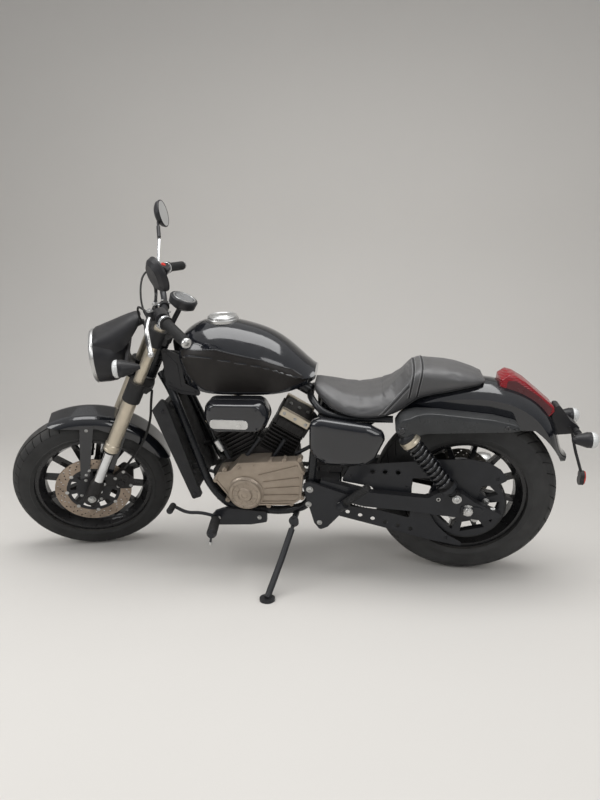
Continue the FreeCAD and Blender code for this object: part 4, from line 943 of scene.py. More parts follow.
class Wrap:
    """Finds points on a finished surface, for trim that lies on it."""

    FAR = 600.0
    SUNK = -0.4
    LIFT = 0.35
    HOOP_REACH = 98.0
    PATCH_CELL = 9.0
    PATCH_SUNK = -0.8
    STITCH = (5.5, 4.2, 0.9)

    def __init__(self, thing: Thing) -> None:
        """Takes an object's surface into the upright bike's drawing frame, in millimetres.

        Args:
            thing: the object.
        """
        back = BIKE.inverted()
        points = [(back @ v.co) / MM for v in thing.data.vertices]
        self.tree = BVHTree.FromPolygons(points, [tuple(f.vertices) for f in thing.data.polygons])

    def seat(self, point: Vector, way: Vector, lift: float) -> Vector:
        """A point on the surface, seen along a direction.

        Args:
            point: where to look from, moved far out first.
            way: the direction to look in.
            lift: how far the result stands off the surface.

        Returns:
            The point.
        """
        hit, normal, _, _ = self.tree.ray_cast(point - way * self.FAR, way)
        if hit is None:
            hit, normal, _, _ = self.tree.find_nearest(point)
        if normal.dot(way) > 0:
            normal = -normal
        return hit + normal * lift

    def along(self, path: Path, side: int, step: float = 4.0) -> list[Vector]:
        """Even steps of a path drawn in X and Z, before they are seated.

        Args:
            path: corners of the path.
            side: -1 for the left and 1 for the right.
            step: distance between the points.

        Returns:
            The points.
        """
        corners = [Vector((x, side * 100, z)) for x, z in path]
        points = [corners[0]]
        for start, end in zip(corners, corners[1:]):
            count = max(1, round((end - start).length / step))
            points += [start.lerp(end, (i + 1) / count) for i in range(count)]
        return points

    def strip(self, shape: Shape, path: Path, side: int, width: float) -> None:
        """Lays a flat strip along a path.

        Args:
            shape: the shape that it is added to.
            path: corners of its middle line, in X and Z.
            side: -1 for the left and 1 for the right.
            width: its width.
        """
        points = self.along(path, side)
        rings = []
        for i, point in enumerate(points):
            ahead = points[min(i + 1, len(points) - 1)] - points[max(i - 1, 0)]
            square = ahead.cross(Y).normalized() * (width / 2)
            corners = ((1, self.LIFT), (-1, self.LIFT), (-1, self.SUNK), (1, self.SUNK))
            rings.append([self.seat(point + square * way, Y * -side, lift) for way, lift in corners])
        shape.loft(rings)

    def cord(self, shape: Shape, path: Path, side: int, radius: float) -> None:
        """Lays a round cord along a path, sunk by a third of its thickness.

        Args:
            shape: the shape that it is added to.
            path: corners of its line, in X and Z.
            side: -1 for the left and 1 for the right.
            radius: the cord's radius.
        """
        points = [self.seat(p, Y * -side, radius * 0.35) for p in self.along(path, side, 7.0)]
        for _ in range(4):
            points[1:-1] = [(a + b + c) / 3 for a, b, c in zip(points, points[1:], points[2:])]
        shape.tube(points, radius, 2)

    def hoop(self, place: Callable[[float], float], middle: float) -> list[Vector]:
        """Points of a line that goes over the top from flank to flank.

        Args:
            place: gives the line's X at a height.
            middle: the height that the line is seen from.

        Returns:
            The points, on the surface.
        """
        points = []
        for i in range(41):
            angle = radians(90 + self.HOOP_REACH * (i / 20 - 1))
            out = Vector((0, cos(angle), sin(angle)))
            point = Vector((place(middle + 60), 0, middle))
            for _ in range(3):
                point.x = place(self.seat(point, -out, 0.0).z)
            points.append(self.seat(point, -out, 0.3))
        return points

    def stitches(self, shape: Shape, seated: Sequence[Vector]) -> None:
        """Lays a row of stitches along a row of points.

        Args:
            shape: the shape that they are added to.
            seated: points on the surface, in order.
        """
        pitch, length, radius = self.STITCH
        carried = 0.0
        for start, end in zip(seated, seated[1:]):
            run = end - start
            while carried < run.length:
                middle = start + run * (carried / max(run.length, 1e-6))
                half = run.normalized() * (length / 2)
                steps = [(0, radius * 0.5), (0.5, radius), (length - 0.5, radius), (length, radius * 0.5)]
                shape.turned(middle - half, half, steps, 5)
                carried += pitch
            carried -= run.length

    def patch(self, shape: Shape, outline: Path, side: int, lift: float) -> None:
        """Lays a thin panel, cut into cells, on the surface.

        Args:
            shape: the shape that it is added to.
            outline: its outline in X and Z.
            side: -1 for the left and 1 for the right.
            lift: how far its face stands off the surface.
        """
        bm = bmesh.new()
        bm.faces.new([bm.verts.new((x, 0, z)) for x, z in outline])
        for axis, normal in ((0, X), (2, Z)):
            along = [p[axis // 2] for p in outline]
            for i in range(1, int((max(along) - min(along)) / self.PATCH_CELL)):
                parts = bm.verts[:] + bm.edges[:] + bm.faces[:]
                place = normal * (min(along) + i * self.PATCH_CELL)
                bmesh.ops.bisect_plane(bm, geom=parts, plane_co=place, plane_no=normal)
        rim = [e for e in bm.edges if e.is_boundary]
        made = bmesh.ops.extrude_edge_only(bm, edges=rim)
        sunk = {v for v in made["geom"] if isinstance(v, bmesh.types.BMVert)}
        for vertex in bm.verts:
            depth = self.PATCH_SUNK if vertex in sunk else lift
            vertex.co = self.seat(Vector((vertex.co.x, side * 100, vertex.co.z)), Y * -side, depth)
        mesh = bpy.data.meshes.new("patch")
        bm.to_mesh(mesh)
        bm.free()
        shape.bm.from_mesh(mesh)
        bpy.data.meshes.remove(mesh)


def rounded(corners: Path, radius: float, count: int = 5) -> list[Point]:
    """An outline with its corners rounded.

    Args:
        corners: (x, z), or (x, z, radius) for a corner of its own.
        radius: the usual radius.
        count: points round a corner.

    Returns:
        The outline.
    """
    outline = []
    total = len(corners)
    for i, corner in enumerate(corners):
        here = Vector(corner[:2])
        before, after = Vector(corners[i - 1][:2]) - here, Vector(corners[(i + 1) % total][:2]) - here
        wanted = corner[2] if len(corner) > 2 else radius
        half = before.angle(after) / 2
        reach = min(wanted / tan(half), 0.48 * before.length, 0.48 * after.length) if half > 0.02 else 0.0
        first, last = here + before.normalized() * reach, here + after.normalized() * reach
        for k in range(count):
            t = k / (count - 1)
            outline.append(tuple(first * (1 - t) ** 2 + here * (2 * t * (1 - t)) + last * t * t))
    return outline


def pillow(outline: Path, side: int, steps: Path) -> list[list[Vector]]:
    """Rings of a rounded cover that stands out to one side.

    Args:
        outline: its outline in X and Z.
        side: -1 for the left and 1 for the right.
        steps: (distance out, share of the outline's size) for each ring.

    Returns:
        The rings.
    """
    middle = Vector((sum(p[0] for p in outline), 0, sum(p[1] for p in outline))) / len(outline)
    flat = [Vector((x, 0, z)) - middle for x, z in outline]
    return [[middle + p * share + Y * (side * out) for p in flat] for out, share in steps]


def inset(outline: Path, distance: float) -> list[Point]:
    """An outline moved inward.

    Args:
        outline: the outline in X and Z.
        distance: how far it moves.

    Returns:
        The smaller outline.
    """
    area = sum(a[0] * b[1] - b[0] * a[1] for a, b in zip(outline, [*outline[1:], outline[0]]))
    turn = 1 if area > 0 else -1
    moved = []
    for i, point in enumerate(outline):
        ahead = Vector(outline[(i + 1) % len(outline)]) - Vector(outline[i - 1])
        square = Vector((-ahead.y, ahead.x)).normalized() * (distance * turn)
        moved.append((point[0] + square.x, point[1] + square.y))
    return moved


# Studio


@dataclass
class Studio:
    """Floor and backdrop, lamps, world and the camera of the photograph."""

    camera_place: tuple[float, float, float] = (-0.332, -2.224, 1.011)
    yaw: float = 7.06
    pitch: float = 10.07
    roll: float = -0.51
    lens: float = 36.1
    floor_half: float = 7.0
    floor_side: float = 9.0
    floor_sunk: float = 0.0005
    wall_distance: float = 3.4
    sweep_radius: float = 1.6
    wall_height: float = 5.0
    floor_colour: Colour = (0.62, 0.60, 0.57)

    def build(self) -> None:
        """Makes the whole studio."""
        self.make_camera()
        self.make_sweep()
        self.make_lamps()
        self.make_world()
        bpy.context.scene.view_settings.view_transform = "Standard"

    def make_camera(self) -> None:
        """Sets the camera where the photograph was taken from, beside the parked bike."""
        data = bpy.data.cameras.new("PhotoCamera")
        data.sensor_fit = "HORIZONTAL"
        data.sensor_width = 36.0
        data.lens = self.lens
        camera = bpy.data.objects.new("PhotoCamera", data)
        bpy.context.scene.collection.objects.link(camera)
        turn = Matrix()
        for angle, axis in ((self.yaw, "Z"), (-self.pitch, "X"), (self.roll, "Y")):
            turn = turn @ Matrix.Rotation(radians(angle), 4, axis)
        look = Matrix.Rotation(pi / 2, 4, "X")
        shift = BIKE.translation - STANCE.matrices()[0].translation * MM
        camera.matrix_world = Matrix.Translation(Vector(self.camera_place) + shift) @ turn @ look
        bpy.context.scene.camera = camera

    def make_sweep(self) -> None:
        """A pale floor that curves up into the backdrop."""
        bend = self.sweep_radius
        profile = [(-self.floor_half, 0.0), (self.wall_distance - bend, 0.0)]
        for i in range(1, 13):
            angle = pi / 2 * i / 12
            profile.append((self.wall_distance - bend + bend * sin(angle), bend - bend * cos(angle)))
        profile.append((self.wall_distance, self.wall_height))
        bm = bmesh.new()
        ends = (-self.floor_side, self.floor_side)
        rows = [[bm.verts.new((x, y, z - self.floor_sunk)) for y, z in profile] for x in ends]
        for i in range(len(profile) - 1):
            bm.faces.new((rows[0][i], rows[1][i], rows[1][i + 1], rows[0][i + 1]))
        mesh = bpy.data.meshes.new("Sweep")
        bm.to_mesh(mesh)
        bm.free()
        mesh.shade_smooth()
        sweep = bpy.data.objects.new("Sweep", mesh)
        bpy.context.scene.collection.objects.link(sweep)
        graph = Graph("SweepPaper")
        cloud = graph.noise(900.0, 4.0)
        light = tuple(min(1.0, c * 1.04) for c in self.floor_colour)
        paper = graph.mix(cloud, self.floor_colour, light)
        graph.shade(Base_Color=paper, Roughness=0.7, Normal=graph.bump(graph.noise(4.0, 3.0), 0.15))
        mesh.materials.append(graph.material)

    @staticmethod
    def make_lamp(name: str, place: Point, aim: Point, size: tuple[float, float], power: float) -> None:
        """A soft box aimed at a point.

        Args:
            name: the lamp's name.
            place: where it stands, in metres.
            aim: the point that it faces.
            size: its width and height.
            power: its power in watts.
        """
        data = bpy.data.lights.new(name, "AREA")
        data.shape = "RECTANGLE"
        data.size, data.size_y = size
        data.energy = power
        lamp = bpy.data.objects.new(name, data)
        bpy.context.scene.collection.objects.link(lamp)
        lamp.location = place
        lamp.rotation_mode = "QUATERNION"
        lamp.rotation_quaternion = (Vector(aim) - Vector(place)).to_track_quat("-Z", "Y")

    def make_lamps(self) -> None:
        """A broad box overhead, one before the bike and a weaker one behind the camera."""
        self.make_lamp("TopBox", (0.1, -0.3, 3.2), (0, 0.1, 0.4), (3.6, 1.6), 75.0)
        self.make_lamp("FrontBox", (-2.6, -1.9, 2.0), (-0.3, 0, 0.5), (1.4, 1.6), 32.0)
        self.make_lamp("FillBox", (2.2, -3.0, 2.2), (0.2, 0, 0.4), (2.0, 1.6), 30.0)

    def make_world(self) -> None:
        """An even pale sky, brighter overhead."""
        world = bpy.data.worlds.new("StudioAir")
        bpy.context.scene.world = world
        world.use_nodes = True
        nodes, links = world.node_tree.nodes, world.node_tree.links
        ground = nodes["Background"]
        coordinates = nodes.new("ShaderNodeTexCoord")
        parts = nodes.new("ShaderNodeSeparateXYZ")
        links.new(coordinates.outputs["Generated"], parts.inputs["Vector"])
        ramp = nodes.new("ShaderNodeValToRGB")
        ramp.color_ramp.elements[0].position = 0.0
        ramp.color_ramp.elements[0].color = (0.42, 0.43, 0.45, 1)
        ramp.color_ramp.elements[1].position = 0.75
        ramp.color_ramp.elements[1].color = (1.0, 1.0, 1.0, 1)
        links.new(parts.outputs["Z"], ramp.inputs["Fac"])
        links.new(ramp.outputs["Color"], ground.inputs["Color"])
        ground.inputs["Strength"].default_value = 0.55


# Carried-over nodes


NODE_FINISHES = (
    (FRAME_BLACK, "frame"),
    (SATIN_BLACK, "swing_arm side_stand rear_pulley front_axle handlebar fender_rails "
                  "upper_belt_guard lower_belt_guard foot_pegs foot_controls"),
    (WHEEL_BLACK, "front_rim rear_rim"),
    (STEEL, "rear_axle"),
    (CHAMPAGNE, "fork_legs"),
    (MATTE_BLACK, "fork_clamps exhaust shocks"),
    (GLOSS_BLACK, "front_fender fuel_tank rear_fender shock_springs"),
    (CAST_BLACK, "front_caliper engine_block cylinders rear_caliper"),
    (RUBBER, "grips drive_belt brake_hose control_cables"),
    (PLASTIC, "hand_controls mirrors headlamp front_indicators instrument air_cleaner "
              "tail_bracket neck_covers"),
    (CLEAR, "headlamp_lens"),
    (BRONZE, "engine_covers"),
    (RADIATOR, "radiator"),
    (CHROME, "fuel_cap"),
    (RED, "tail_light"),
    (PANEL_BLACK, "side_covers"),
    (DISC_FACE, "front_disc"),
    (REAR_DISC_FACE, "rear_disc"),
    (FRONT_RUBBER, "front_tyre"),
    (REAR_RUBBER, "rear_tyre"),
    (SEAT_VINYL, "seat"),
)


class CarriedNodes:
    """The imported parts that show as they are, in their finishes."""

    def build(self) -> None:
        """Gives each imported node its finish."""
        finishes = {name: finish for finish, names in NODE_FINISHES for name in names.split()}
        for name, thing in frame["nodes"].items():
            thing.data.materials.clear()
            thing.data.materials.append(finishes[name].material())
            for face in thing.data.polygons:
                face.material_index = 0
        LOG.info("dressed %d packed nodes", len(frame["nodes"]))


# Wheels


@dataclass
class Tyre:
    """A tyre with its tread blocks cut and its flanks ringed."""

    name: str
    node: str
    spot: Spot
    rubber: Finish
    outside: float
    crown: float
    seat_half: float
    pitches: int
    tread_reach: float
    groove: float
    slant: float
    wave: float
    depth: float = 5.5
    lip: float = 215.3
    bead: float = 203.0

    COLUMNS = (0.0, 0.02, 0.035, 0.105, 0.12, 0.22, 0.34, 0.5, 0.52, 0.535, 0.605, 0.62, 0.74, 0.86)

    @property
    def last(self) -> float:
        """Angle from the crown, in degrees, at which the section meets the rim's lip."""
        return degrees(acos((self.lip - self.outside + self.crown) / self.crown))

    def rows(self) -> list[float]:
        """Places round the section where it has points.

        Returns:
            Their angles in degrees from the crown, left to right.
        """
        last, edge = self.last, self.tread_reach
        half = [
            0.0, 3.0, 4.0, 9.0, 15.0, 21.0, 22.0, 25.0, 26.0, 32.0, 38.0, 44.0, 50.0, edge - 4, edge,
            edge + 1.5, edge + 3, edge + 9, edge + 15, edge + 21, last - 16, last - 14.5, last - 11,
            last - 9.5, last - 5, last]
        return [-a for a in half[:0:-1]] + half

    def cut(self, angle: float, column: float) -> float:
        """Depth of the tread's cuts as a share of its full depth.

        Args:
            angle: place round the section, in degrees.
            column: place along one pitch, from 0 to 1.

        Returns:
            0 on a block and 1 in a groove.
        """
        reach = abs(angle)
        if reach > self.tread_reach + 1.6:
            return 0.0
        ring = 1.0 if 22.0 <= reach <= 25.0 else 0.0
        start = 0.0 if angle < 0 else 0.5
        along = (column - start) % 1.0
        slot = 1.0 if 0.03 <= along <= 0.11 and reach >= self.groove else 0.0
        return max(ring * 0.7, slot)

    def build(self) -> None:
        """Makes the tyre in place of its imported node."""
        shape = Shape()
        middle = self.outside - self.crown
        rows = self.rows()
        rings = []
        for pitch in range(self.pitches):
            for column in self.COLUMNS:
                ring = []
                for row in rows:
                    share = min(1.0, abs(row) / self.tread_reach)
                    lean = self.slant * share * share + self.wave * sin(pi * share)
                    turn = 2 * pi * (pitch + column + lean) / self.pitches
                    angle = radians(row)
                    radius = self.crown - self.depth * self.cut(row, column)
                    if abs(row) > self.tread_reach + 2:
                        radius -= self.relief(abs(row))
                    out = middle + radius * cos(angle)
                    ring.append(Vector((cos(turn) * out, radius * sin(angle), sin(turn) * out)))
                for side, out in ((1, self.lip), (1, self.bead), (-1, self.bead), (-1, self.lip)):
                    turn = 2 * pi * (pitch + column + self.slant) / self.pitches
                    ring.append(Vector((cos(turn) * out, side * self.seat_half, sin(turn) * out)))
                rings.append(ring)
        tyre = shape.loft(rings, loop=True).piece(self.name, self.spot, self.rubber, 40)
        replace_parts(tyre, self.node)

    def relief(self, reach: float) -> float:
        """How far the flank stands in from the round section, in millimetres.

        Args:
            reach: angle from the crown.

        Returns:
            The distance.
        """
        if self.last - 14.6 <= reach <= self.last - 9.4:
            return 0.2
        share = (reach - self.tread_reach) / (self.last - self.tread_reach)
        return 1.0 + 1.6 * sin(pi * min(1.0, max(0.0, share)))


@dataclass
class FrontDisc:
    """The front brake disc: a drilled ring on a dark carrier, with its buttons and bolts."""

    radius: float = 139.7
    inner: float = 98.0
    half: float = 2.2
    plane: float = -62.0
    bore: float = 10.6
    buttons: int = 8

    def build(self) -> None:
        """Makes the ring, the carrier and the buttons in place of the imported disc."""
        low, high = self.plane - self.half, self.plane + self.half
        face = [ring_points(self.radius, 120), ring_points(self.inner, 96)]
        face += drilled((130.5, 121.0, 111.5), 24, 5, 3.1)
        ring = Shape().plate(face, low, high, 0.3).piece("front_disc_ring", FRONT_WHEEL, DISC_FACE, 30)
        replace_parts(ring, "front_disc")
        pitch = 360 / self.buttons
        face = [ring_points(self.inner - 0.4, 96), ring_points(self.bore, 32)]
        face += [window(64.0, 86.0, i * pitch + 7, (i + 1) * pitch - 7) for i in range(self.buttons)]
        carrier, studs, bolts = Shape().plate(face, low + 0.4, high - 0.4, 0.4), Shape(), Shape()
        for i in range(self.buttons):
            x, z = polar(self.inner, i * pitch)
            studs.turned(
                (x, low - 1.2, z), Y, [(0, 4), (0.4, 7.2), (1.4, 7.2), (5.6, 7.2), (6.6, 7.2), (7.0, 4)], 20)
        bolts.bolt_circle((0, low + 0.2, 0), -Y, 52, 4, pitch / 2, 4.6)
        show(
            FRONT_WHEEL, (carrier, "front_disc_carrier", DISC_HUB, 30),
            (studs, "front_disc_buttons", STEEL, 30), (bolts, "front_disc_bolts", STEEL, 30))


@dataclass
class RearDisc:
    """The rear brake disc on the right."""

    radius: float = 114.7
    inner: float = 82.0
    half: float = 2.2
    plane: float = 95.0
    bore: float = 10.6

    def build(self) -> None:
        """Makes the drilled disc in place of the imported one."""
        low, high = self.plane - self.half, self.plane + self.half
        face = [ring_points(self.radius, 110), ring_points(self.bore, 32)]
        face += drilled((106.0, 98.0, 90.0), 20, 6, 2.8)
        face += [window(60.0, self.inner - 3, i * 60 + 9, i * 60 + 51) for i in range(6)]
        disc = Shape().plate(face, low, high, 0.3).piece("rear_disc_plate", REAR_WHEEL, REAR_DISC_FACE, 30)
        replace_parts(disc, "rear_disc")
        bolts = Shape().bolt_circle((0, high - 0.2, 0), Y, 40, 5, 20, 4.6)
        bolts.piece("rear_disc_bolts", REAR_WHEEL, STEEL, 30)


# Seat


@dataclass
class Seat:
    """One vinyl seat unit: the rider's bucket, the raised pillion and the sewn band between them."""

    shrink: float = 5.0
    voxel: float = 5.0
    pressure: float = 4.0
    cap: float = 6.0
    frames: int = 16
    band_x: float = -186.0
    band_half: float = 13.0
    band_middle: float = 725.0
    stitch_gap: float = 4.5
    channel: float = 6.0
    channel_depth: float = 1.6
    flank_power: float = 0.62
    crown_power: float = 0.8

    SECTIONS = (
        (-530, 60, 58, 704, 724, 743), (-505, 84, 82, 676, 704, 736), (-470, 112, 108, 655, 684, 724),
        (-425, 132, 128, 643, 670, 711), (-380, 142, 138, 638, 664, 706), (-340, 144, 139, 638, 666, 709),
        (-300, 142, 136, 642, 674, 719), (-265, 133, 127, 650, 692, 742), (-235, 122, 116, 661, 714, 770),
        (-205, 110, 104, 682, 746, 803), (-180, 103, 97, 697, 765, 815), (-135, 101, 94, 709, 768, 811),
        (-90, 100, 92, 717, 767, 807), (-45, 94, 86, 727, 764, 798), (0, 84, 76, 736, 758, 783),
        (36, 64, 58, 744, 756, 768))
    EDGE = (
        (-498, 694), (-470, 669), (-425, 656), (-380, 651), (-340, 651), (-300, 655), (-265, 663),
        (-235, 675), (-205, 695), (-180, 710), (-135, 722), (-90, 730), (-45, 740), (0, 748), (18, 751))
    SEAM = ((-318, 640), (-214, 752))

    def build(self) -> None:
        """Makes the cushion, its seams and its stitching."""
        cushion = self.cushion()
        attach(cushion, "main")
        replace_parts(cushion, "seat")
        self.sew(cushion)

    def band(self, step: float) -> Callable[[float], float]:
        """X by height of a line beside the sewn band's middle, which leans forward as it falls."""
        return lambda z: self.band_x + step - 0.18 * (790.0 - z)

    def sew(self, cushion: Thing) -> None:
        """Lays the piping, the covered seams and the stitching on the cover.

        Args:
            cushion: the finished cushion.
        """
        wrap = Wrap(cushion)
        piping, thread = shapes(2)
        # The piping is drawn dark as painted shade of the seam grooves.
        gap = self.stitch_gap
        for step in (-self.band_half, self.band_half):
            piping.tube(wrap.hoop(self.band(step), self.band_middle), 2.6, 2)
            for beside in (-gap, gap):
                wrap.stitches(thread, wrap.hoop(self.band(step + beside), self.band_middle))
        for side in (-1, 1):
            wrap.cord(piping, self.EDGE, side, 3.0)
            wrap.cord(piping, self.SEAM, side, 1.7)
            for beside in (-gap, gap):
                line = wrap.along([(x + beside, z - beside) for x, z in self.SEAM], side)
                wrap.stitches(thread, [wrap.seat(p, Y * -side, 0.3) for p in line])
        # The pale stitching also stands in as a painted highlight along the seams.
        show(MAIN, (piping, "seat_piping", PIPING_PAINTED_SHADE), (thread, "seat_stitching", THREAD_PAINTED_HIGHLIGHT))

    def ring(self, x: float, half: float, foot: float, low: float, side: float, top: float) -> list[Vector]:
        """A section across the seat: flat foot, round flanks, low crown.

        Args:
            x: where it stands.
            half: half its width.
            foot: half its width at the foot.
            low: height of the foot.
            side: height where the flank turns into the crown.
            top: height of the crown.

        Returns:
            Its points, once round.
        """
        less = self.shrink
        half, foot, low, top = half - less, foot - less, low + less, top - less
        points = []
        count = 14
        for i in range(count + 1):
            angle = pi * i / count
            reach = copysign(abs(cos(angle)) ** self.flank_power, cos(angle))
            rise = sin(angle) ** self.crown_power
            points.append(Vector((x, half * reach, side + (top - side) * rise)))
        points += [
            Vector((x, -half * 0.995, (side + low) / 2)), Vector((x, -foot, low + 5)),
            Vector((x, -foot + 9, low)), Vector((x, 0, low)), Vector((x, foot - 9, low)),
            Vector((x, foot, low + 5)), Vector((x, half * 0.995, (side + low) / 2))]
        return points

    def cushion(self) -> Thing:
        """The padded body, filled out by a short cloth run.

        Returns:
            The finished object at its place.
        """
        shape = Shape().loft([self.ring(*section) for section in self.SECTIONS])
        cushion = stood("seat_cushion", shape.mesh("seat_cushion"), SEAT_VINYL)
        bpy.context.view_layer.objects.active = cushion
        remesh = cushion.modifiers.new("Remesh", "REMESH")
        remesh.mode = "VOXEL"
        remesh.voxel_size = self.voxel * MM
        bpy.ops.object.select_all(action="DESELECT")
        cushion.select_set(True)
        bpy.ops.object.modifier_apply(modifier=remesh.name)
        smooth = cushion.modifiers.new("Smooth", "SMOOTH")
        smooth.factor, smooth.iterations = 0.5, 6
        bpy.ops.object.modifier_apply(modifier=smooth.name)
        self.fill_out(cushion)
        self.sink_seams(cushion)
        cushion.data.shade_smooth()
        cushion.data.transform(BIKE)
        return cushion

    def fill_out(self, cushion: Thing) -> None:
        """Swells the cover between its seams with air pressure, and applies the result.

        Args:
            cushion: the remeshed body.
        """
        scene = bpy.context.scene
        held = cushion.vertex_groups.new(name="held")
        rest = [v.co.copy() for v in cushion.data.vertices]
        for vertex in cushion.data.vertices:
            near = min(abs(d) for d in self.seam_distances(vertex.co / MM))
            if near < 4.0 or vertex.normal.z < -0.5:
                held.add([vertex.index], 1.0, "REPLACE")
        cloth = cushion.modifiers.new("Cloth", "CLOTH")
        cloth.settings.vertex_group_mass = held.name
        cloth.settings.use_pressure = True
        cloth.settings.uniform_pressure_force = self.pressure
        cloth.settings.effector_weights.gravity = 0.0
        cloth.settings.tension_stiffness = cloth.settings.compression_stiffness = 40.0
        for number in range(1, self.frames + 1):
            scene.frame_set(number)
        settled = cushion.evaluated_get(bpy.context.evaluated_depsgraph_get())
        moved = [v.co.copy() for v in settled.data.vertices]
        cushion.modifiers.remove(cloth)
        for vertex, start, end in zip(cushion.data.vertices, rest, moved):
            step = end - start
            if step.length > self.cap * MM:
                step *= self.cap * MM / step.length
            vertex.co = start + step
        scene.frame_set(1)

    def seam_distances(self, point: Vector) -> list[float]:
        """Signed distances from the band's two seams and the rider's side seam, in millimetres."""
        across_band = [point.x - self.band(step)(point.z) for step in (-self.band_half, self.band_half)]
        return [*across_band, self.side_seam(point)]

    def side_seam(self, point: Vector) -> float:
        """Distance from the slanting seam on each flank.

        Args:
            point: a point on the cover, in millimetres.

        Returns:
            The signed distance, or a large number where the seam has ended.
        """
        start, end = (Vector(p) for p in self.SEAM)
        run = end - start
        here = Vector((point.x, point.z)) - start
        share = here.dot(run) / run.length_squared
        if not 0.0 <= share <= 1.0 or abs(point.y) < 60:
            return 99.0
        return (here.x * run.y - here.y * run.x) / run.length

    def sink_seams(self, cushion: Thing) -> None:
        """Presses a narrow channel along each seam.

        Args:
            cushion: the body.
        """
        for vertex in cushion.data.vertices:
            if vertex.normal.z < -0.6:
                continue
            near = min(abs(d) for d in self.seam_distances(vertex.co / MM))
            if near < self.channel:
                vertex.co -= vertex.normal * (self.channel_depth * MM * (1 - near / self.channel))


# Front end


@dataclass
class Fork:
    """Fork legs in four finishes: champagne tubes, bright lower tubes, seals and cast black feet."""

    spread: float = 95.0
    tube: float = 18.5
    slider: float = 25.0
    collar: float = 28.0
    foot: float = 25.5

    def build(self) -> None:
        """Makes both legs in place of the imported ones."""
        up = STANCE.fork_up
        sliders, bright, seals, feet, bolts = shapes(5)
        for side in (-1, 1):
            base = STANCE.on_fork(0, side * self.spread)
            ring, thick = self.collar, self.slider
            sliders.turned(base, up, [
                (217, ring - 4), (218, ring - 1), (219, ring), (227, ring), (228, ring - 1.5),
                (231, ring - 1.5), (232, ring), (246, ring), (249, thick), (444, thick), (446, thick - 1.5),
                (446, self.tube), (736, self.tube)])
            bright.turned(base, up, [(60, self.tube), (224, self.tube)])
            bright.turned(base, up, [(730, 15, 6), (744, 15, 6), (746, 13), (746, 6, 6), (740, 5.5, 6)])
            seals.turned(base, up, [
                (207, self.tube), (207, self.tube + 3), (211, self.tube + 5), (218, self.tube + 6)])
            feet.turned(base, up, [
                (-34, self.foot - 3), (-32, self.foot), (52, self.foot), (60, self.foot - 1.5),
                (68, self.foot - 5), (74, self.tube)])
            feet.turned(base - Y * (self.foot + 3), Y, [
                (0, 19), (1.5, 21), (2 * self.foot + 4.5, 21), (2 * self.foot + 6, 19)])
            for along in (-22, 22):
                bolts.bolt(STANCE.on_fork(along, side * self.spread, self.foot - 0.5), STANCE.fork_back, 5.0)
            bolts.nut(base + Y * side * (self.foot + 3), Y * side, 12.5, 8.0, 0.72)
        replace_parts(sliders.piece("fork_tubes", FRONT_END, CHAMPAGNE), "fork_legs")
        show(
            FRONT_END, (bright, "fork_bright_tubes", CHROME), (seals, "fork_seals", RUBBER),
            (feet, "fork_feet", CAST_BLACK), (bolts, "fork_bolts", STEEL))
        self.clamp_bolts()

    def clamp_bolts(self) -> None:
        """Pinch bolts of both triple clamps, the stem nut and the bar clamps."""
        bolts, caps = shapes(2)
        for side in (-1, 1):
            for along in (456, 500):
                bolts.bolt(STANCE.on_fork(along, side * 80, 30), STANCE.fork_back, 5.0)
            bolts.bolt(STANCE.on_fork(697, side * 84, 26), STANCE.fork_back, 4.5)
            centre = STANCE.on_fork(764, side * 42, 4)
            caps.turned(centre - Y * 14, Y, [(0, 15), (1.5, 17), (26.5, 17), (28, 15)], 32)
            for back in (-12.5, 12.5):
                bolts.bolt(STANCE.on_fork(779, side * 42, 4 + back), STANCE.fork_up, 4.0)
        bolts.turned(STANCE.on_fork(701, 0, 33.8), STANCE.fork_up, [
            (0, 19), (3, 19), (3, 16, 6), (15, 16, 6), (17, 13), (17, 8), (10, 8)])
        show(FRONT_END, (bolts, "clamp_bolts", STEEL), (caps, "bar_clamps", MATTE_BLACK))


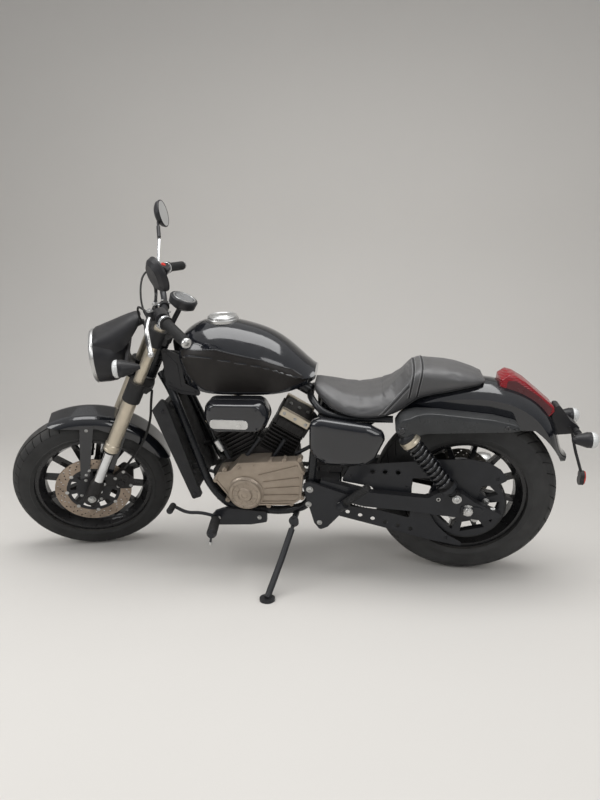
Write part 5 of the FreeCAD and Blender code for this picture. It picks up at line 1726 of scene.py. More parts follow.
@dataclass
class Handlebar:
    """Ribbed grips, bar ends, levers, switches, mirror glasses and the instrument's face."""

    grip: float = 17.0
    reach: float = 380.0
    tilt: float = 0.2

    TOE = {-1: 26.0, 1: 14.0}

    @staticmethod
    def nose(x: float, y: float, z: float) -> Vector:
        """A point given from the front axle."""
        return STANCE.front_axle + Vector((x, y, z))

    def build(self) -> None:
        """Makes everything the hands and eyes meet."""
        grips, ends, levers, bolts = shapes(4)
        glass, rims, stalks, bright, switches = shapes(5)
        for side in (-1, 1):
            outer = self.nose(421, side * (self.reach - 12), 715)
            inner_end = self.nose(359, side * 258, 745)
            along = (outer - inner_end).normalized()
            inner = inner_end + along * 18
            length = (outer - inner).length
            grip = self.grip
            grips.turned(inner, along, [
                (0, 12), (0, 21), (1, 22), (4, 22), (5, 20.5), (5.5, grip),
                *ribs(8.0, length - 5, 5.0, ((0, grip), (3.2, grip), (3.6, grip - 0.9), (4.6, grip - 0.9))),
                (length - 1, grip), (length, grip - 1)], 40)
            ends.turned(outer, along, [
                (0, 13), (0, 15.5), (1, 16), (7.5, 16), (9.5, 15), (12, 12.5), (12, 7, 6), (5, 6.4, 6)])
            bright.turned(inner - along * 11, along, [(0, 20), (1, 21.6), (8, 21.6), (9, 20)], 40)
            pivot = self.nose(321, side * 222, 749)
            tip = self.nose(318, side * 362, 683)
            levers.tube(
                [pivot, self.nose(307, side * 258, 737), self.nose(311, side * 318, 709), tip], 7.4, 3)
            ball = [(9.7 - 9.7 * cos(pi * i / 10), 9.7 * sin(pi * i / 10) + 0.05) for i in range(11)]
            levers.turned(tip - Z * 9.6, Z, ball, 20)
            bolts.nut(pivot + Z * 14, Z, 8.5, 6.0)
            self.switch_gear(side, switches, bolts)
            toe = radians(self.TOE[side])
            axis = Vector((cos(toe), -side * sin(toe), self.tilt)).normalized()
            centre = self.nose(355, side * 368, 917) + axis * 8
            rims.turned(centre + axis * 12.5, axis, [
                (0, 49), (0, 50.3), (2, 50), (3, 48.6), (3, 46.6), (1.6, 46)], hollow=True)
            glass.turned(centre + axis * 13.5, axis, [(0, 46.4), (1.4, 46.2)])
            foot, knee = self.nose(339, side * 186, 773), self.nose(353, side * 262, 851)
            top = self.nose(353, side * 330, 897)
            bright.tube([foot, foot.lerp(knee, 0.8), knee], 5.3, 3)
            stalks.turned(knee.lerp(top, 0.12), top - knee, [(0, 5.2), (1, 6.9), (52, 6.9), (54, 5.4)], 24)
            bolts.nut(foot - Z * 2, Z, 9.5, 7.0, 0.55)
        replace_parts(grips.piece("grip_rubbers", FRONT_END, RUBBER), "grips")
        show(
            FRONT_END, (ends, "bar_ends", SILVER), (levers, "lever_blades", SILVER),
            (bright, "bar_bright_rings", CHROME), (bolts, "bar_bolts", STEEL),
            (rims, "mirror_rims", PLASTIC), (stalks, "mirror_sleeves", PLASTIC),
            (glass, "mirror_glasses", MIRROR))
        switches.piece("switch_buttons", FRONT_END, SATIN_BLACK, slot="plastic")
        self.instrument()

    def switch_gear(self, side: int, switches: Shape, bolts: Shape) -> None:
        """Buttons on one switch housing, and the right one's red stop switch.

        Args:
            side: -1 for the left and 1 for the right.
            switches: the shape of the black buttons.
            bolts: the shape of the screws.
        """
        start, end = self.nose(343, side * 165, 747), self.nose(359, side * 258, 745)
        along = (end - start).normalized()
        rear = along.cross(Z * side).normalized()
        rear = rear if rear.x > 0 else -rear
        for share, reach in ((0.55, 5.5), (0.72, 4.5), (0.88, 5.0)):
            switches.turned(start.lerp(end, share) + rear * 19 + Z * (4 - 10 * (share - 0.5)), rear, [
                (0, reach), (4.5, reach), (5.5, reach - 1.2)], 20)
        for share in (0.5, 0.94):
            bolts.turned(start.lerp(end, share) - Z * 20, -Z, [(0, 3.4), (1.8, 3.4), (2.4, 2.6)], 16)
        if side > 0:
            red = Shape()
            red.turned(start.lerp(end, 0.7) + Z * 17, rear + Z * 1.4, [(0, 9), (7, 9), (9, 7.5)], 28)
            red.piece("stop_switch", FRONT_END, RED_SWITCH)

    def instrument(self) -> None:
        """The instrument's ring, bezel, face and plain scale."""
        normal = Vector((0.42, 0, 0.91)).normalized()
        base = self.nose(417, 0, 701) + normal * 16
        ring = Shape().turned(
            base, normal, [(0, 46.5), (2.2, 46.2), (3.6, 44), (3.6, 42), (1.6, 40.4)], 72, hollow=True)
        ring.piece("instrument_ring", FRONT_END, SATIN_BLACK, slot="plastic")
        pale = Shape().turned(
            base, normal, [(2.6, 40), (4.4, 39.6), (4.6, 37.4), (2.7, 36.6)], 72, hollow=True)
        pale.piece("instrument_bezel", FRONT_END, SILVER)
        face = Shape().turned(base, normal, [(1.0, 37.5), (2.9, 37.3)], 72)
        face.piece("instrument_face", FRONT_END, DIAL)
        marks = Shape()
        side, over = across(normal)
        for i in range(25):
            angle = radians(-120 + 10 * i)
            out = side * cos(angle) + over * sin(angle)
            long = 6.0 if i % 4 == 0 else 3.5
            marks.turned(base + normal * 3.1 + out * (34 - long), out, [(0, 0.5), (long, 0.5)], 5)
        marks.piece("instrument_marks", FRONT_END, SATIN_BLACK, slot="plastic")


@dataclass
class Lamps:
    """The headlamp's shell, rim, reflector, projector, lens and bolts, and the indicators' lenses."""

    radius: float = 95.0

    @property
    def centre(self) -> Vector:
        """The headlamp's centre."""
        return Handlebar.nose(150, 0, 531)

    def build(self) -> None:
        """Makes the lamps' bright and clear pieces."""
        centre = self.centre
        rim = Shape().turned(centre, -X, [
            (46, self.radius - 9.2), (46, self.radius - 1.2), (52, self.radius + 0.6),
            (57, self.radius - 1.5), (60, self.radius - 5.5), (57, self.radius - 8.8)], 96, hollow=True)
        rim.piece("headlamp_rim", FRONT_END, SILVER)
        bowl = Shape().turned(
            centre, -X, [(45, 84.5), (47.5, 84), (46.0, 74), (44.6, 50), (44.4, 30)], 72, caps=False)
        bowl.piece("headlamp_reflector", FRONT_END, CHROME, 60)
        cell = Shape().turned(centre - X * 44.4, -X, [(0, 31), (6, 31), (7, 28), (7, 26)], 48)
        cell.piece("headlamp_cell", FRONT_END, SATIN_BLACK, slot="plastic")
        ball = Shape().turned(
            centre - X * 49, -X, [(0, 25), (3, 24), (7, 20), (10, 14), (11.8, 7), (12.2, 1)], 48)
        ball.piece("headlamp_projector", FRONT_END, CLEAR)
        lens = Shape().turned(centre, -X, [
            (52, 85.4), (57, 84.5), (62, 78), (66, 62), (68.5, 40), (69.4, 14), (69.5, 1), (67.5, 1),
            (67.3, 14), (66.3, 40), (63.8, 61), (60, 76), (55, 82.5), (52, 83.4)], 96)
        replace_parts(lens.piece("headlamp_glass", FRONT_END, CLEAR, 60), "headlamp_lens")
        self.shell()
        self.indicators()
        bolts = Shape()
        for side in (-1, 1):
            bolts.bolt(centre + Vector((62, side * 34, -62)), Y * side, 5.5)
        bolts.piece("headlamp_bolts", FRONT_END, STEEL)

    def shell(self) -> None:
        """The lamp's bowl with the smooth cowl over it, its bracket and the indicators' bar."""
        centre, radius = self.centre, self.radius
        shape = Shape().turned(centre, X, [
            (-44, radius - 9), (-52, radius - 9), (-52, radius - 3), (-44, radius), (-12, radius),
            (12, radius * 0.97), (40, radius * 0.82), (60, radius * 0.5), (60, 8), (-36, 8),
            (-36, radius - 9)], 96, hollow=True)
        rings = []
        for back, half, low, high in (
                (-44, 66, 62, 92), (-42, 69, 58, 96), (-26, 72, 54, 102), (-4, 76, 44, 111),
                (24, 77, 36, 122), (52, 72, 46, 133), (78, 60, 70, 142), (100, 48, 98, 148),
                (114, 40, 118, 148), (118, 30, 126, 144)):
            ring = []
            for i in range(33):
                angle = pi * i / 32
                rise = (high - low) * sin(angle) ** 0.7
                ring.append(centre + Vector((back, half * cos(angle), low + rise)))
            ring += [centre + Vector((back, half * (0.12 * i - 0.9), low + 2)) for i in range(16)]
            rings.append(ring)
        shape.loft(rings)
        bracket = ((33, -18), (33, -55), (52, -85), (73, -92), (73, -45), (60, -15))
        shape.slabs(rounded([(centre.x + a, centre.z + b) for a, b in bracket], 6), -34, 34, 3.0)
        shape.turned(centre + Vector((66, -175, 34)), Y, [(0, 7), (350, 7)], 24)
        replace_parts(shape.piece("headlamp_shell", FRONT_END, PLASTIC, 50), "headlamp")

    def indicators(self) -> None:
        """Pale lenses that cap the indicators' bodies."""
        lenses = Shape()
        for side in (-1, 1):
            lenses.turned(self.centre + Vector((34, side * 193, 34)), -X, [
                (-9, 29.2), (-8, 29.8), (0, 29.6), (4, 27.5), (8, 21), (10, 12), (10.6, 0.8)], 48)
        lenses.piece("front_indicator_lenses", FRONT_END, PALE_LENS, 60)


@dataclass
class FrontBrake:
    """The front caliper's dressings, the hose fittings and the fender's fixings."""

    def build(self) -> None:
        """Makes piston caps, bridge bolts, a banjo and the strut bolts."""
        ax, az = STANCE.front_axle.x, STANCE.front_axle.z
        steel, black = shapes(2)
        for x, z in ((108, 34), (130, 58)):
            black.turned((ax + x, -92, az + z), -Y, [(0, 16), (3, 16), (4.5, 14), (4.5, 9), (2.5, 8)], 32)
        for x, z in ((97, 22), (143, 20), (126, 86), (92, 60)):
            steel.bolt((ax + x, -92, az + z), -Y, 4.6)
        for x, z in ((48, 38), (58, 78)):
            steel.bolt((ax + x, -90, az + z), -Y, 5.0)
        black.turned(
            STANCE.on_fork(122, -82, 72), STANCE.fork_up, [(0, 8), (10, 8), (12, 5.5), (26, 5.5)], 24)
        for side in (-1, 1):
            for x, z in ((2, 96), (-12, 78), (62, 66)):
                steel.bolt((ax + x, side * 73, az + z), Y * side, 4.2)
            for x, z in ((24, 272), (132, 236)):
                steel.bolt((ax + x, side * 73, az + z), Y * side, 4.6)
        show(FRONT_END, (steel, "front_brake_bolts", STEEL), (black, "front_brake_caps", CAST_BLACK))


# Engine


@dataclass
class Engine:
    """The bronze cover's relief and bolts, head rails, struts, the air cleaner and its plate."""

    crank: Point = (-730.0, 380.0)
    face: float = -150.0
    cap: Point = (-770.0, 352.0)
    cap_radius: float = 57.0

    LEFT = (
        (-152, 20, 12), (-138, 50, 12), (-92, 58, 14), (-62, 90, 14), (150, 108, 18), (168, 64, 12),
        (158, -44, 20), (124, -70, 14), (-78, -82, 40))

    def build(self) -> None:
        """Makes the engine's dressings."""
        self.left_cover()
        self.heads()
        self.air_cleaner()
        self.right_cover()

    def left_cover(self) -> None:
        """Rim, ribs, round cap and bolts of the bronze cover."""
        x, z = self.crank
        outline = rounded([(x + a, z + b, r) for a, b, r in self.LEFT], 12)
        relief = Shape().plate(
            [inset(outline, 1.0), inset(outline, 8.0)], self.face - 3.0, self.face + 1.0, 1.0)
        for first, last in (
                ((-722, 424), (-582, 466)), ((-706, 398), (-578, 420)), ((-702, 372), (-578, 386)),
                ((-704, 346), (-582, 352)), ((-712, 320), (-590, 326))):
            run = (Vector(last) - Vector(first)).normalized()
            square = Vector((-run.y, run.x))
            wide = [
                Vector(first) + square * 1.2, Vector(last) + square * 2.6, Vector(last) - square * 2.6,
                Vector(first) - square * 1.2]
            relief.slabs([tuple(p) for p in wide], self.face - 5.0, self.face + 1.0, 1.0)
        cx, cz = self.cap
        top = self.face - 14
        radius = self.cap_radius
        relief.turned((cx, top + 1, cz), -Y, [
            (0, radius), (3, radius - 0.5), (4.5, radius - 3), (4.5, radius - 11), (2.0, radius - 13),
            (2.0, 27), (4.5, 25), (8, 23), (9, 20), (9, 11), (6.5, 10), (6.5, 5)], 96)
        relief.turned((cx, self.face + 1, cz), -Y, [
            (0, radius + 8), (4, radius + 8), (6, radius + 4), (14, radius)], 96)
        for i in range(12):
            x, z = polar(1, 30 * i + 8)
            out = Vector((x, 0, z))
            relief.turned(Vector((cx, top - 0.5, cz)) + out * 28, out, [(0, 1.6), (radius - 41, 1.6)], 8)
        relief.piece("engine_cover_relief", MAIN, BRONZE, 40)
        bolts, bosses = shapes(2)
        for bx, bz in (
                (-877, 396), (-842, 440), (-789, 450), (-735, 466), (-678, 476), (-628, 483), (-574, 489),
                (-566, 440), (-570, 340), (-608, 314), (-690, 302), (-760, 296), (-838, 318)):
            bosses.turned((bx, self.face + 26, bz), -Y, [(0, 9.5), (25, 9.0), (27, 8.0)], 28)
            bolts.bolt((bx, self.face - 1, bz), -Y, 4.2)
        bolts.bolt_circle((cx, top - 3.0, cz), -Y, 50, 6, 20, 3.2)
        show(MAIN, (bosses, "engine_cover_bosses", BRONZE), (bolts, "engine_cover_bolts", BRONZE))

    def heads(self) -> None:
        """Champagne rails with bolts on both heads, side boxes, struts and the sensor."""
        x, z = self.crank
        rails, boxes, bolts = shapes(3)
        for way in (-1, 1):
            place = Matrix.Translation((x, 0, z)) @ Matrix.Rotation(radians(way * 30), 4, Y)
            for side in (-1, 1):
                low, high = sorted((side * 58.0, side * 76.0))
                rails.plate(
                    [rounded([(-58, 251), (56, 251), (56, 280), (-58, 280)], 5)], low, high, 2.0, place)
                low, high = sorted((side * 60.0, side * 80.0))
                boxes.plate(
                    [rounded([(-50, 214), (50, 214), (50, 244), (-50, 244)], 6)], low, high, 2.0, place)
                low, high = sorted((side * 79.0, side * 83.0))
                for a in range(-42, 53, 19):
                    boxes.plate([[(a, 217), (a + 6, 217), (a + 6, 241), (a, 241)]], low, high, 0.8, place)
                for i in (-1, 0, 1):
                    bolts.bolt(place @ Vector((i * 42, side * 76, 265)), place.to_3x3() @ (Y * side), 4.6)
            for i in range(3):
                bolts.bolt(place @ Vector((-34 + 34 * i, 0, 278)), place.to_3x3() @ Z, 5.0)
        show(
            MAIN, (rails, "head_rails", CHAMPAGNE), (boxes, "head_side_boxes", CAST_BLACK),
            (bolts, "head_bolts", STEEL))
        struts = Shape()
        for start, end in (
                ((-770, -92, 470), (-715, -84, 548)), ((-676, -92, 466), (-637, -84, 530)),
                ((-838, -86, 452), (-872, -80, 520)), ((-596, -84, 480), (-552, -80, 505))):
            struts.turned(
                start, Vector(end) - Vector(start), [(0, 9), (2, 9), (3, 7), (78, 7), (79, 9), (82, 9)], 24)
        struts.piece("engine_struts", MAIN, SATIN_BLACK)
        sensor = Shape().turned(
            (-874, -112, 536), (24, 0, -46), [(0, 8), (2, 11), (34, 11), (36, 8), (44, 8), (46, 6)], 28)
        sensor.piece("engine_sensor", MAIN, SILVER)
        lead = Shape().tube(
            [(-876, -112, 540), (-890, -104, 566), (-896, -70, 588), (-880, -40, 600)], 4.0, 3)
        lead.bolt((-858, -110, 470), -Y, 7.0)
        lead.piece("engine_sensor_lead", MAIN, RUBBER)

    def air_cleaner(self) -> None:
        """The pillow-shaped cleaner, its duct, the blank bright plate and its bolts."""
        x, z = self.crank
        outline = rounded(
            [(-884, 706), (-690, 709), (-667, 655, 44), (-690, 603), (-874, 597), (-894, 651, 44)], 34, 9)
        body = Shape().loft(pillow(
            outline, -1, ((104, 0.93), (110, 0.985), (118, 1.0), (148, 1.0), (148.6, 0.985), (151.4, 0.985),
            (152, 1.0), (166, 1.0), (174, 0.975), (185, 0.91), (190, 0.87), (192.4, 0.83), (193, 0.78))))
        body.turned((-790, -40, 640), -Y, [(0, 30), (66, 36)], 40)
        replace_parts(body.piece("air_cleaner_body", MAIN, GLOSS_BLACK, 50), "air_cleaner")
        low, high = z + 238, z + 271
        ends = rounded([(x - 138, low), (x - 8, low), (x - 8, high), (x - 138, high)], 15.5, 9)
        Shape().plate([ends], -196.4, -192, 0.9).piece("air_cleaner_plate", MAIN, SILVER)
        bolts = Shape()
        for a, b in ((-136, 304), (20, 306), (-136, 236), (20, 240)):
            bolts.bolt((x + a, -191.5, z + b), -Y, 3.6)
        bolts.piece("air_cleaner_bolts", MAIN, SATIN_BLACK, slot="steel")

    def right_cover(self) -> None:
        """Ring and bolts of the round cover on the right, and the filler cap."""
        x, z = self.crank
        ring = Shape().turned((x + 30, 150, z), Y, [
            (0, 67), (2.5, 66), (4, 62), (4, 52), (1.5, 50), (1.5, 20), (4, 18), (5, 14)], 96)
        ring.piece("clutch_cover_relief", MAIN, BRONZE)
        bolts = Shape().bolt_circle((x + 30, 153, z), Y, 58, 6, 15, 4.2)
        for a, b in ((-128, -24), (-116, 38), (-24, 78), (88, 54), (102, -32), (2, -72)):
            bolts.bolt((x + a, 136, z + b), Y, 4.6)
        bolts.nut((x - 92, 136, z + 20), Y, 13, 10)
        bolts.piece("clutch_cover_bolts", MAIN, SATIN_BLACK, slot="steel")


# Tank, panels, frame


@dataclass
class Tank:
    """The tank's satin side panels with their edge lines, its bottom seams and its cap."""

    PANEL = (
        (-985, 862, 16), (-962, 766, 60), (-905, 716, 60), (-650, 716, 60), (-545, 757, 10), (-600, 800, 40),
        (-690, 836, 60), (-850, 872, 60))

    def build(self) -> None:
        """Makes the panels, the seams and the cap."""
        wrap = Wrap(frame["nodes"]["fuel_tank"])
        panel, seam = shapes(2)
        outline = rounded(self.PANEL, 30, 7)
        for side in (-1, 1):
            wrap.patch(panel, outline, side, 0.4)
            wrap.cord(seam, outline + outline[:1], side, 1.9)
            wrap.strip(seam, [
                (-978, 752), (-930, 722), (-850, 712), (-750, 712), (-650, 716), (-575, 734)], side, 3.0)
        show(MAIN, (panel, "tank_side_panels", PANEL_BLACK, 40), (seam, "tank_seams", GLOSS_BLACK, 40))
        self.cap()

    def cap(self) -> None:
        """The round cap with its rings and key slot, on its flange."""
        base = Vector((-850, 0, 922))
        steps = [
            (20, 40), (26, 49), (28, 51), (31, 51.4), (34, 50.5), (36, 47), (36.4, 44), (35.4, 42.5),
            (35.4, 38), (36.6, 36.5), (38.2, 33), (38.4, 30), (37.2, 28.6), (37.2, 24), (38.6, 22.6),
            (39.4, 14), (39.6, 1)]
        cap = Shape().turned(base, Z, steps, 96)
        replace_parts(cap.piece("fuel_cap_rings", MAIN, SILVER, 20, slot="chrome"), "fuel_cap")
        flap = Shape().plate(
            [rounded([(-862, -5), (-838, -5), (-838, 5), (-862, 5)], 4.8, 6)], 0, 1.6, 0.4,
            Matrix.Translation((0, 0, 961.2)) @ Matrix.Rotation(-pi / 2, 4, X))
        flap.piece("fuel_cap_key_flap", MAIN, SATIN_BLACK, slot="plastic")
        ring = Shape().turned(base, Z, [(16, 55), (25.2, 55.5), (27.6, 54), (28.2, 51)], 96)
        ring.piece("fuel_cap_flange", MAIN, SILVER, slot="chrome")


@dataclass
class Chassis:
    """Bearing rings, covers' trim, peg rubbers, foot controls, the stand's nut and the radiator's ribs."""

    def build(self) -> None:
        """Makes the frame's dressings."""
        self.head()
        self.covers()
        self.pegs()
        self.stand()
        self.radiator()

    def head(self) -> None:
        """Bearing covers of the steering head."""
        up = STANCE.fork_up
        rings = Shape()
        for along in (508, 668):
            rings.turned(STANCE.on_fork(along, 0, 33.8), up, [
                (0, 30.4), (0.5, 31.5), (5.5, 31.5), (6, 30.4)], 48, hollow=True)
        rings.piece("head_bearing_rings", MAIN, STEEL)

    def covers(self) -> None:
        """Side covers' rounded bodies and rubber studs, neck covers' beads and fasteners."""
        cover = rounded([
            (-538, 636, 26), (-506, 652, 50), (-337, 630, 50), (-294, 608, 24), (-286, 584, 26),
            (-318, 512, 44), (-352, 484, 50), (-488, 484, 60), (-540, 524, 60)], 30, 9)
        raised, studs, lines = shapes(3)
        for side in (-1, 1):
            raised.loft(pillow(
                cover, side, ((142, 0.97), (145, 1.0), (158, 1.0), (164, 0.985), (170, 0.945), (174.5, 0.88),
                (178, 0.79), (180.4, 0.66), (181.6, 0.5), (182, 0.3))))
            for a, b in ((-516, 520), (-316, 560)):
                studs.turned(
                    (a, side * 168, b), Y * side, [(0, 6), (4.2, 6), (5, 4.5), (5, 2.4, 6), (3, 2, 6)], 24)
            for path in (
                    ((-1050, 846), (-1004, 800), (-998, 718)), ((-1046, 722), (-1000, 702), (-944, 694))):
                for start, end in zip(path, path[1:]):
                    lines.turned(
                        (start[0], side * 68, start[1]), (end[0] - start[0], 0, end[1] - start[1]),
                        [(0, 1.6), ((Vector(end) - Vector(start)).length, 1.6)], 8)
            for a, b in ((-1036, 838), (-952, 696), (-1040, 728)):
                studs.turned(
                    (a, side * 68, b), Y * side, [(0, 6.5), (2, 6.5), (3, 5), (3, 2.2, 6), (1.5, 2, 6)], 24)
        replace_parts(raised.piece("side_cover_bodies", MAIN, GLOSS_BLACK, 50), "side_covers")
        show(MAIN, (studs, "cover_studs", PLASTIC), (lines, "neck_cover_beads", PLASTIC))

    def pegs(self) -> None:
        """Ribbed peg rubbers, the folded passenger pegs, the shift toe and the casting's bolts."""
        rubbers, folded, bolts, bright = shapes(4)
        for side in (-1, 1):
            root, tip = Vector((-890, side * 138, 232)), Vector((-864, side * 300, 266))
            ribbed = ribs(28.0, 142, 7.4, ((0, 17.6), (4.5, 17.6), (5.2, 16.0), (6.6, 16.0)))
            rubbers.turned(root, tip - root, [(24, 14), (25, 17.3), *ribbed, (146, 17.2), (148, 14)], 40)
            bright.turned(tip - (tip - root).normalized() * 14 + Vector((-5, 0, -30)), (-6, 0, -34), [
                (0, 4.4), (1, 5.6), (9, 5.6), (11, 4)], 20)
            start, end = Vector((-424, side * 166, 332)), Vector((-338, side * 200, 424))
            length = (end - start).length
            ribbed = ribs(26.0, length - 8, 9.0, ((0, 13.4), (4, 13.4), (5, 11.6), (8, 11.6)))
            steps = [(0, 9), (4, 13), *ribbed, (length - 2, 13.0), (length + 1, 9)]
            folded.turned(start, end - start, steps, 32)
            for (a, b), size in (
                    ((-540, 383), 9.0), ((-545, 324), 8.0), ((-507, 252), 7.0), ((-436, 330), 6.5)):
                bolts.bolt((a, side * 162, b), Y * side, size, size * 0.7)
            for a, b in ((-727, 246), (-880, 236)):
                bolts.bolt((a, side * 140, b), Y * side, 6.0, 4.5)
        ribbed = ribs(1, 30, 11, ((0, 12), (5, 12), (6, 10.6), (10, 10.6)))
        rubbers.turned((-1040, -158, 290), (0, -46, 2), [(0, 9), *ribbed, (34, 12), (42, 12), (44, 10)], 28)
        for i in range(5):
            rubbers.turned((-1056 + 11 * i, 152, 300.5 - 1.7 * i), Y, [(0, 2.2), (48, 2.2)], 8)
        show(
            MAIN, (rubbers, "peg_rubbers", RUBBER), (folded, "passenger_peg_bars", RUBBER),
            (bolts, "foot_part_bolts", STEEL), (bright, "peg_feelers", SILVER))

    def stand(self) -> None:
        """The nut on the stand's pivot."""
        pivot = Vector((-594, -182, 262))
        axis = (BIKE.inverted().to_3x3() @ self.stand_axis()).normalized()
        nut = Shape().nut(pivot - axis * 13, -axis, 11.5, 8.0)
        nut.piece("stand_pivot_nut", MAIN, STEEL)

    @staticmethod
    def stand_axis() -> Vector:
        """The stand's turning axis in the row frame."""
        return Vector(next(j for j in frame["joints"] if j["name"] == "side_stand_fold")["axis"])

    def radiator(self) -> None:
        """Cap and side tanks' ribs of the radiator."""
        black, bolts = shapes(2)
        black.turned((-1046, 92, 664), (0, 0, 1), [(0, 15), (10, 15), (10, 21), (17, 21), (19, 18)], 32)
        for side in (-1, 1):
            for i in range(7):
                x, z = -1056 + 15.4 * i, 630 - 44.0 * i
                black.turned((x - 26, side * 127, z - 6), (60, 0, 13), [(0, 2.0), (54, 2.0)], 8)
            bolts.bolt((-1052, side * 136, 650), Y * side, 5.0)
            bolts.bolt((-962, side * 136, 330), Y * side, 5.0)
        show(MAIN, (black, "radiator_cap_and_ribs", PLASTIC), (bolts, "radiator_bolts", SATIN_BLACK))


# Rear end


@dataclass
class RearEnd:
    """Shock collars and seats, guards' bolts, axle nuts, pulley bolts, rails, lights and belt teeth."""

    arm: float = 150.0
    shock: float = 165.0

    def build(self) -> None:
        """Makes the rear end's dressings."""
        self.shocks()
        self.axle()
        self.guards()
        self.rails()
        self.lights()
        self.belt()
        self.wheels()

    def shocks(self) -> None:
        """Champagne collars, spring seats, adjuster rings, rubber eye rings and eye bolts."""
        collars, black, bolts, seats = shapes(4)
        for side in (-1, 1):
            low, high = Vector((-43, side * self.shock, 379)), Vector((-235, side * self.shock, 620))
            run = high - low
            collars.turned(low, run, [
                (249, 29), (250.6, 33), (259, 33), (261, 32), (263, 32), (265, 33), (271, 33), (272.6, 29)],
                56)
            black.turned(low, run, [(274, 26), (276, 30.6), (281, 30.6), (284, 24), (288, 20)], 48)
            black.turned(low, run, [(40, 24), (42, 31.4), (55.6, 31.4)], 48)
            for i in range(2):
                black.turned(
                    low, run, [(22 + 8 * i, 13), (23 + 8 * i, 15), (26 + 8 * i, 15), (27 + 8 * i, 13)], 32)
            seats.turned(low, run, [(14, 13.4), (15, 16.6), (19, 16.6), (20, 13.4)], 32)
            bolts.turned(low + Y * side * 12, Y * side, [
                (0, 15.5), (2.2, 15.5), (2.2, 12), (8, 12), (10, 10), (10, 5.4, 6), (6, 5, 6)], 40)
        show(
            MAIN, (collars, "shock_collars", CHAMPAGNE), (black, "shock_seats", SATIN_BLACK),
            (seats, "shock_eye_rings", RUBBER), (bolts, "shock_bolts", SILVER))

    def axle(self) -> None:
        """Axle nuts on their washers, the belt adjusters' blocks and the stand-spool rings."""
        nuts, blocks, rings = shapes(3)
        for side in (-1, 1):
            face = side * self.arm
            nuts.turned((0, face + side * 0.2, 323), Y * side, [
                (0, 21), (3, 21), (3, 16.5, 6), (14, 16.5, 6), (16, 14), (16, 10), (19, 10), (20, 8.5),
                (20, 4)], 48)
            low, high = sorted((face, face + side * 4))
            blocks.plate([rounded(
                [(-24, 308), (38, 309), (50, 318), (50, 328), (38, 337), (-24, 338)], 6)], low, high, 1.2)
            nuts.turned((62, face - side * 14, 323), X, [
                (0, 6), (16, 6), (16, 9, 6), (23, 9, 6), (24, 6), (30, 6)], 24)
            rings.turned((-100, face + side * 0.1, 360), Y * side, [
                (0, 7.4), (1.8, 7.4), (2.4, 6.6), (2.4, 4.2), (0, 4.1)], 32, hollow=True)
        show(
            MAIN, (nuts, "rear_axle_nuts", SILVER), (blocks, "belt_adjusters", SATIN_BLACK),
            (rings, "stand_spool_rings", STEEL))

    def guards(self) -> None:
        """Bolts of both belt guards, and the raised rims of the upper one's holes."""
        bolts, rims = shapes(2)
        outer = -121.7
        for x, z in (
                (-400, 420), (-150, 452), (10, 352), (96, 430), (-206, 384), (-500, 284), (-140, 312),
                (-60, 188)):
            bolts.bolt((x, outer, z), -Y, 5.0)
        for x in (-325, -282, -238):
            rims.turned((x, outer, 442), -Y, [(0, 11), (1.4, 10.4), (1.4, 8.2), (-3, 8)], 32, hollow=True)
        bolts.piece("belt_guard_bolts", MAIN, SATIN_BLACK)
        rims.piece("belt_guard_rims", MAIN, SATIN_BLACK, slot="plastic")

    def rails(self) -> None:
        """The fender rails with their sloping top edge, thick at the shocks and easing to the rear."""
        outline = rounded([
            (-264, 622), (-240, 664), (-192, 676), (-120, 675), (60, 659), (134, 642, 26), (148, 622, 18),
            (118, 616), (-130, 602), (-214, 596)], 30, 7)
        rails, bolts = shapes(2)
        for side in (-1, 1):
            section = ((96.0, 1.0), (146.0, 1.0), (150.0, 2.5), (153.0, 13.0), (153.2, 15.0))
            rails.loft(layers(outline, [(side * out, shrink) for out, shrink in section]))
            bolts.turned((100, side * 152.6, 632), Y * side, [
                (0, 10), (1.5, 10), (2.6, 8.6), (2.6, 5.0, 6), (0.6, 4.6, 6)], 32)
            bolts.turned((-236, side * 187.6, 628), Y * side, [
                (0, 12), (2, 12), (3.5, 10), (3.5, 5.4, 6), (1.5, 5, 6)], 32)
        for x in range(-256, 144, 6):
            bmesh.ops.bisect_plane(
                rails.bm, geom=rails.bm.verts[:] + rails.bm.edges[:] + rails.bm.faces[:], plane_co=(x, 0, 0),
                plane_no=X)
        for vertex in rails.bm.verts:
            if abs(vertex.co.y) > 120:
                share = min(1.0, max(0.0, (-146 - vertex.co.x) / 76))
                vertex.co.y += copysign(35.0 * share * share * (3 - 2 * share), vertex.co.y)
        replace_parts(rails.piece("fender_rail_bodies", MAIN, RAIL_BLACK, 12), "fender_rails")
        bolts.piece("fender_rail_bolts", MAIN, GLOSS_BLACK)

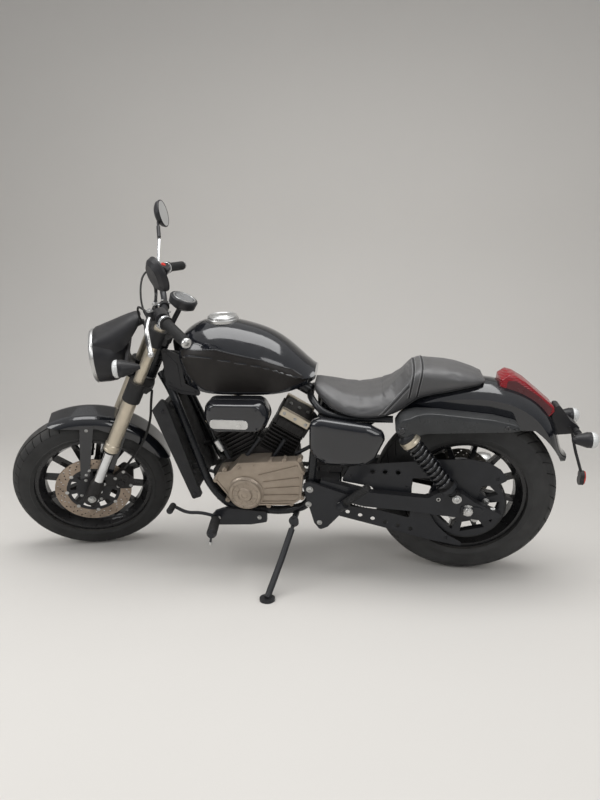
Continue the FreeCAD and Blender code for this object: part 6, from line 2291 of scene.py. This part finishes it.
    def lights(self) -> None:
        """Tail light's shell with darker flanks, rear indicator lenses and the reflector."""
        outline = rounded([
            (84, 722), (87, 759, 8), (110, 776, 10), (134, 770, 30), (172, 747, 60), (216, 710, 60),
            (267, 667, 8), (271, 650, 6), (251, 626)], 10, 5)
        rings = layers(outline, ((-46, 5.0), (-43, 1.0), (-36, 0.0), (36, 0.0), (43, 1.0), (46, 5.0)))
        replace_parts(Shape().loft(rings).piece("tail_light_shell", MAIN, RED, 50), "tail_light")
        flanks = Shape()
        for low, high in ((-46.6, -44.0), (44.0, 46.6)):
            flanks.slabs(rounded([
                (106, 728), (108, 757), (136, 756), (214, 704), (260, 664), (258, 646), (248, 634),
                (200, 676), (150, 708)], 7), low, high, 0.6)
        flanks.piece("tail_light_flanks", MAIN, DARK_RED)
        lenses = Shape()
        for side in (-1, 1):
            lenses.turned((318, side * 105, 580), X, [
                (57, 26.4), (58, 26.9), (66, 26.6), (74, 23), (79, 15), (81.5, 7), (82, 0.8)], 48)
        lenses.piece("rear_indicator_lenses", MAIN, PALE_LENS, 60)
        oval = [Vector((0, 16.5 * y, 26 * z)) for y, z in ring_points(1, 40)]
        middle, steps = Vector((409.5, 0, 386)), ((0, 0.9), (1.5, 1.0), (4.5, 0.98), (6, 0.88))
        red = Shape().loft([[middle + X * out + p * share for p in oval] for out, share in steps])
        red.piece("rear_reflector", MAIN, REFLECTOR)
        bolts = Shape()
        for side in (-1, 1):
            bolts.bolt((330, side * 26, 588), Y * side, 4.5)
            bolts.turned((350, side * 40, 580), Y * side, [(0, 9.2), (1, 12), (16, 12), (17, 9.2)], 28)
        bolts.piece("tail_bracket_fittings", MAIN, PLASTIC)

    def belt(self) -> None:
        """Teeth along the inner side of the belt's two straight runs."""
        teeth = Shape()
        front, rear = Vector((-620, 0, 395)), Vector((0, 0, 323))
        small, large, pitch = 50.0, 130.0, 11.0
        run = rear - front
        base = atan2(run.z, run.x)
        swing = acos((small - large) / run.length)
        for angle in (base + swing, base - swing):
            out = Vector((cos(angle), 0, sin(angle)))
            start, end = front + out * (small + 0.4), rear + out * (large + 0.4)
            count = int((end - start).length / pitch)
            along = (end - start).normalized()
            for i in range(1, count):
                place = start + along * (pitch * i)
                points = [
                    place - along * 2.6 + out * 0.5, place + along * 2.6 + out * 0.5,
                    place + along * 1.7 - out * 3.0, place - along * 1.7 - out * 3.0]
                teeth.loft([[p - Y * 108.5 for p in points], [p - Y * 87.5 for p in points]])
        teeth.piece("belt_teeth", MAIN, RUBBER)

    def wheels(self) -> None:
        """Pulley bolts, the front hub's rings and both valve stems."""
        bolts, bright = shapes(2)
        for i in range(5):
            x, z = polar(66, 72 * i + 12)
            bolts.turned((x, -110, z), -Y, [(0, 13), (1.5, 13), (1.5, 10, 6), (9, 10, 6), (10, 8)], 24)
        bolts.piece("pulley_bolts", REAR_WHEEL, STEEL)
        out = Vector((cos(0.26), 0, sin(0.26)))
        for spot, name in ((FRONT_WHEEL, "front"), (REAR_WHEEL, "rear")):
            stem = Shape().turned(out * 182 + Y * 12, -out - Y * 0.25, [
                (0, 5.5), (8, 5), (10, 3.2), (28, 3.2), (28, 4.4), (38, 4.4), (39, 3.5)], 20)
            stem.piece(name + "_valve_stem", spot, RUBBER)
        for side in (-1, 1):
            bright.turned((0, side * 45, 0), Y * side, [
                (0, 30), (1.5, 30), (2.2, 28), (2.2, 13), (0, 12.6)], 48, hollow=True)
        bright.piece("front_hub_rings", FRONT_WHEEL, SATIN_BLACK)


@dataclass
class Exhaust:
    """The silencer's two bands with their bolts, and its end, on the right."""

    side: float = 214.0

    def build(self) -> None:
        """Makes the exhaust's dressings."""
        run = Vector((1, 0, 0.11)).normalized()
        start = Vector((-450, self.side, 256))
        black, steel = shapes(2)
        black.turned(start, run, [(48, 45), (52, 47.4), (62, 47.4), (66, 46.2)], 56)
        black.turned(start, run, [(300, 46), (301, 47.2), (316, 47.2), (317, 46)], 56)
        steel.turned(start, run, [
            (540, 46), (542, 47.6), (566, 47.6), (590, 38), (592, 34), (590, 30), (560, 29)], 56)
        for along in (56, 308):
            steel.bolt(start + run * along + Vector((0, 46.5, 0)), Y, 4.6)
        show(MAIN, (black, "silencer_bands", SATIN_BLACK), (steel, "silencer_end", STEEL))


# The whole


def main() -> None:
    """Builds the studio and every sub-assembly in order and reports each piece."""
    logging.basicConfig(level=logging.INFO, format="%(name)s: %(message)s")
    Studio().build()
    CarriedNodes().build()
    front = Tyre(
        "front_tyre_tread", "front_tyre", FRONT_WHEEL, FRONT_RUBBER, STANCE.front_radius, STANCE.front_crown,
        38.0, 46, 56.0, 24.0, 0.45, 0.18)
    rear = Tyre(
        "rear_tyre_tread", "rear_tyre", REAR_WHEEL, REAR_RUBBER, STANCE.rear_radius, STANCE.rear_crown, 46.0,
        40, 54.0, 10.0, 1.3, 0.35)
    builders = [front, rear, FrontDisc(), RearDisc(), Seat(), Fork(), Handlebar(), Lamps(), FrontBrake()]
    builders += [Engine(), Tank(), Chassis(), RearEnd(), Exhaust()]
    for builder in builders:
        before = set(bpy.data.objects.keys())
        builder.build()
        for name in sorted(set(bpy.data.objects.keys()) - before):
            LOG.info("%s: %s", type(builder).__name__, name)
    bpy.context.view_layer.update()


if __name__ == "__main__":
    main()
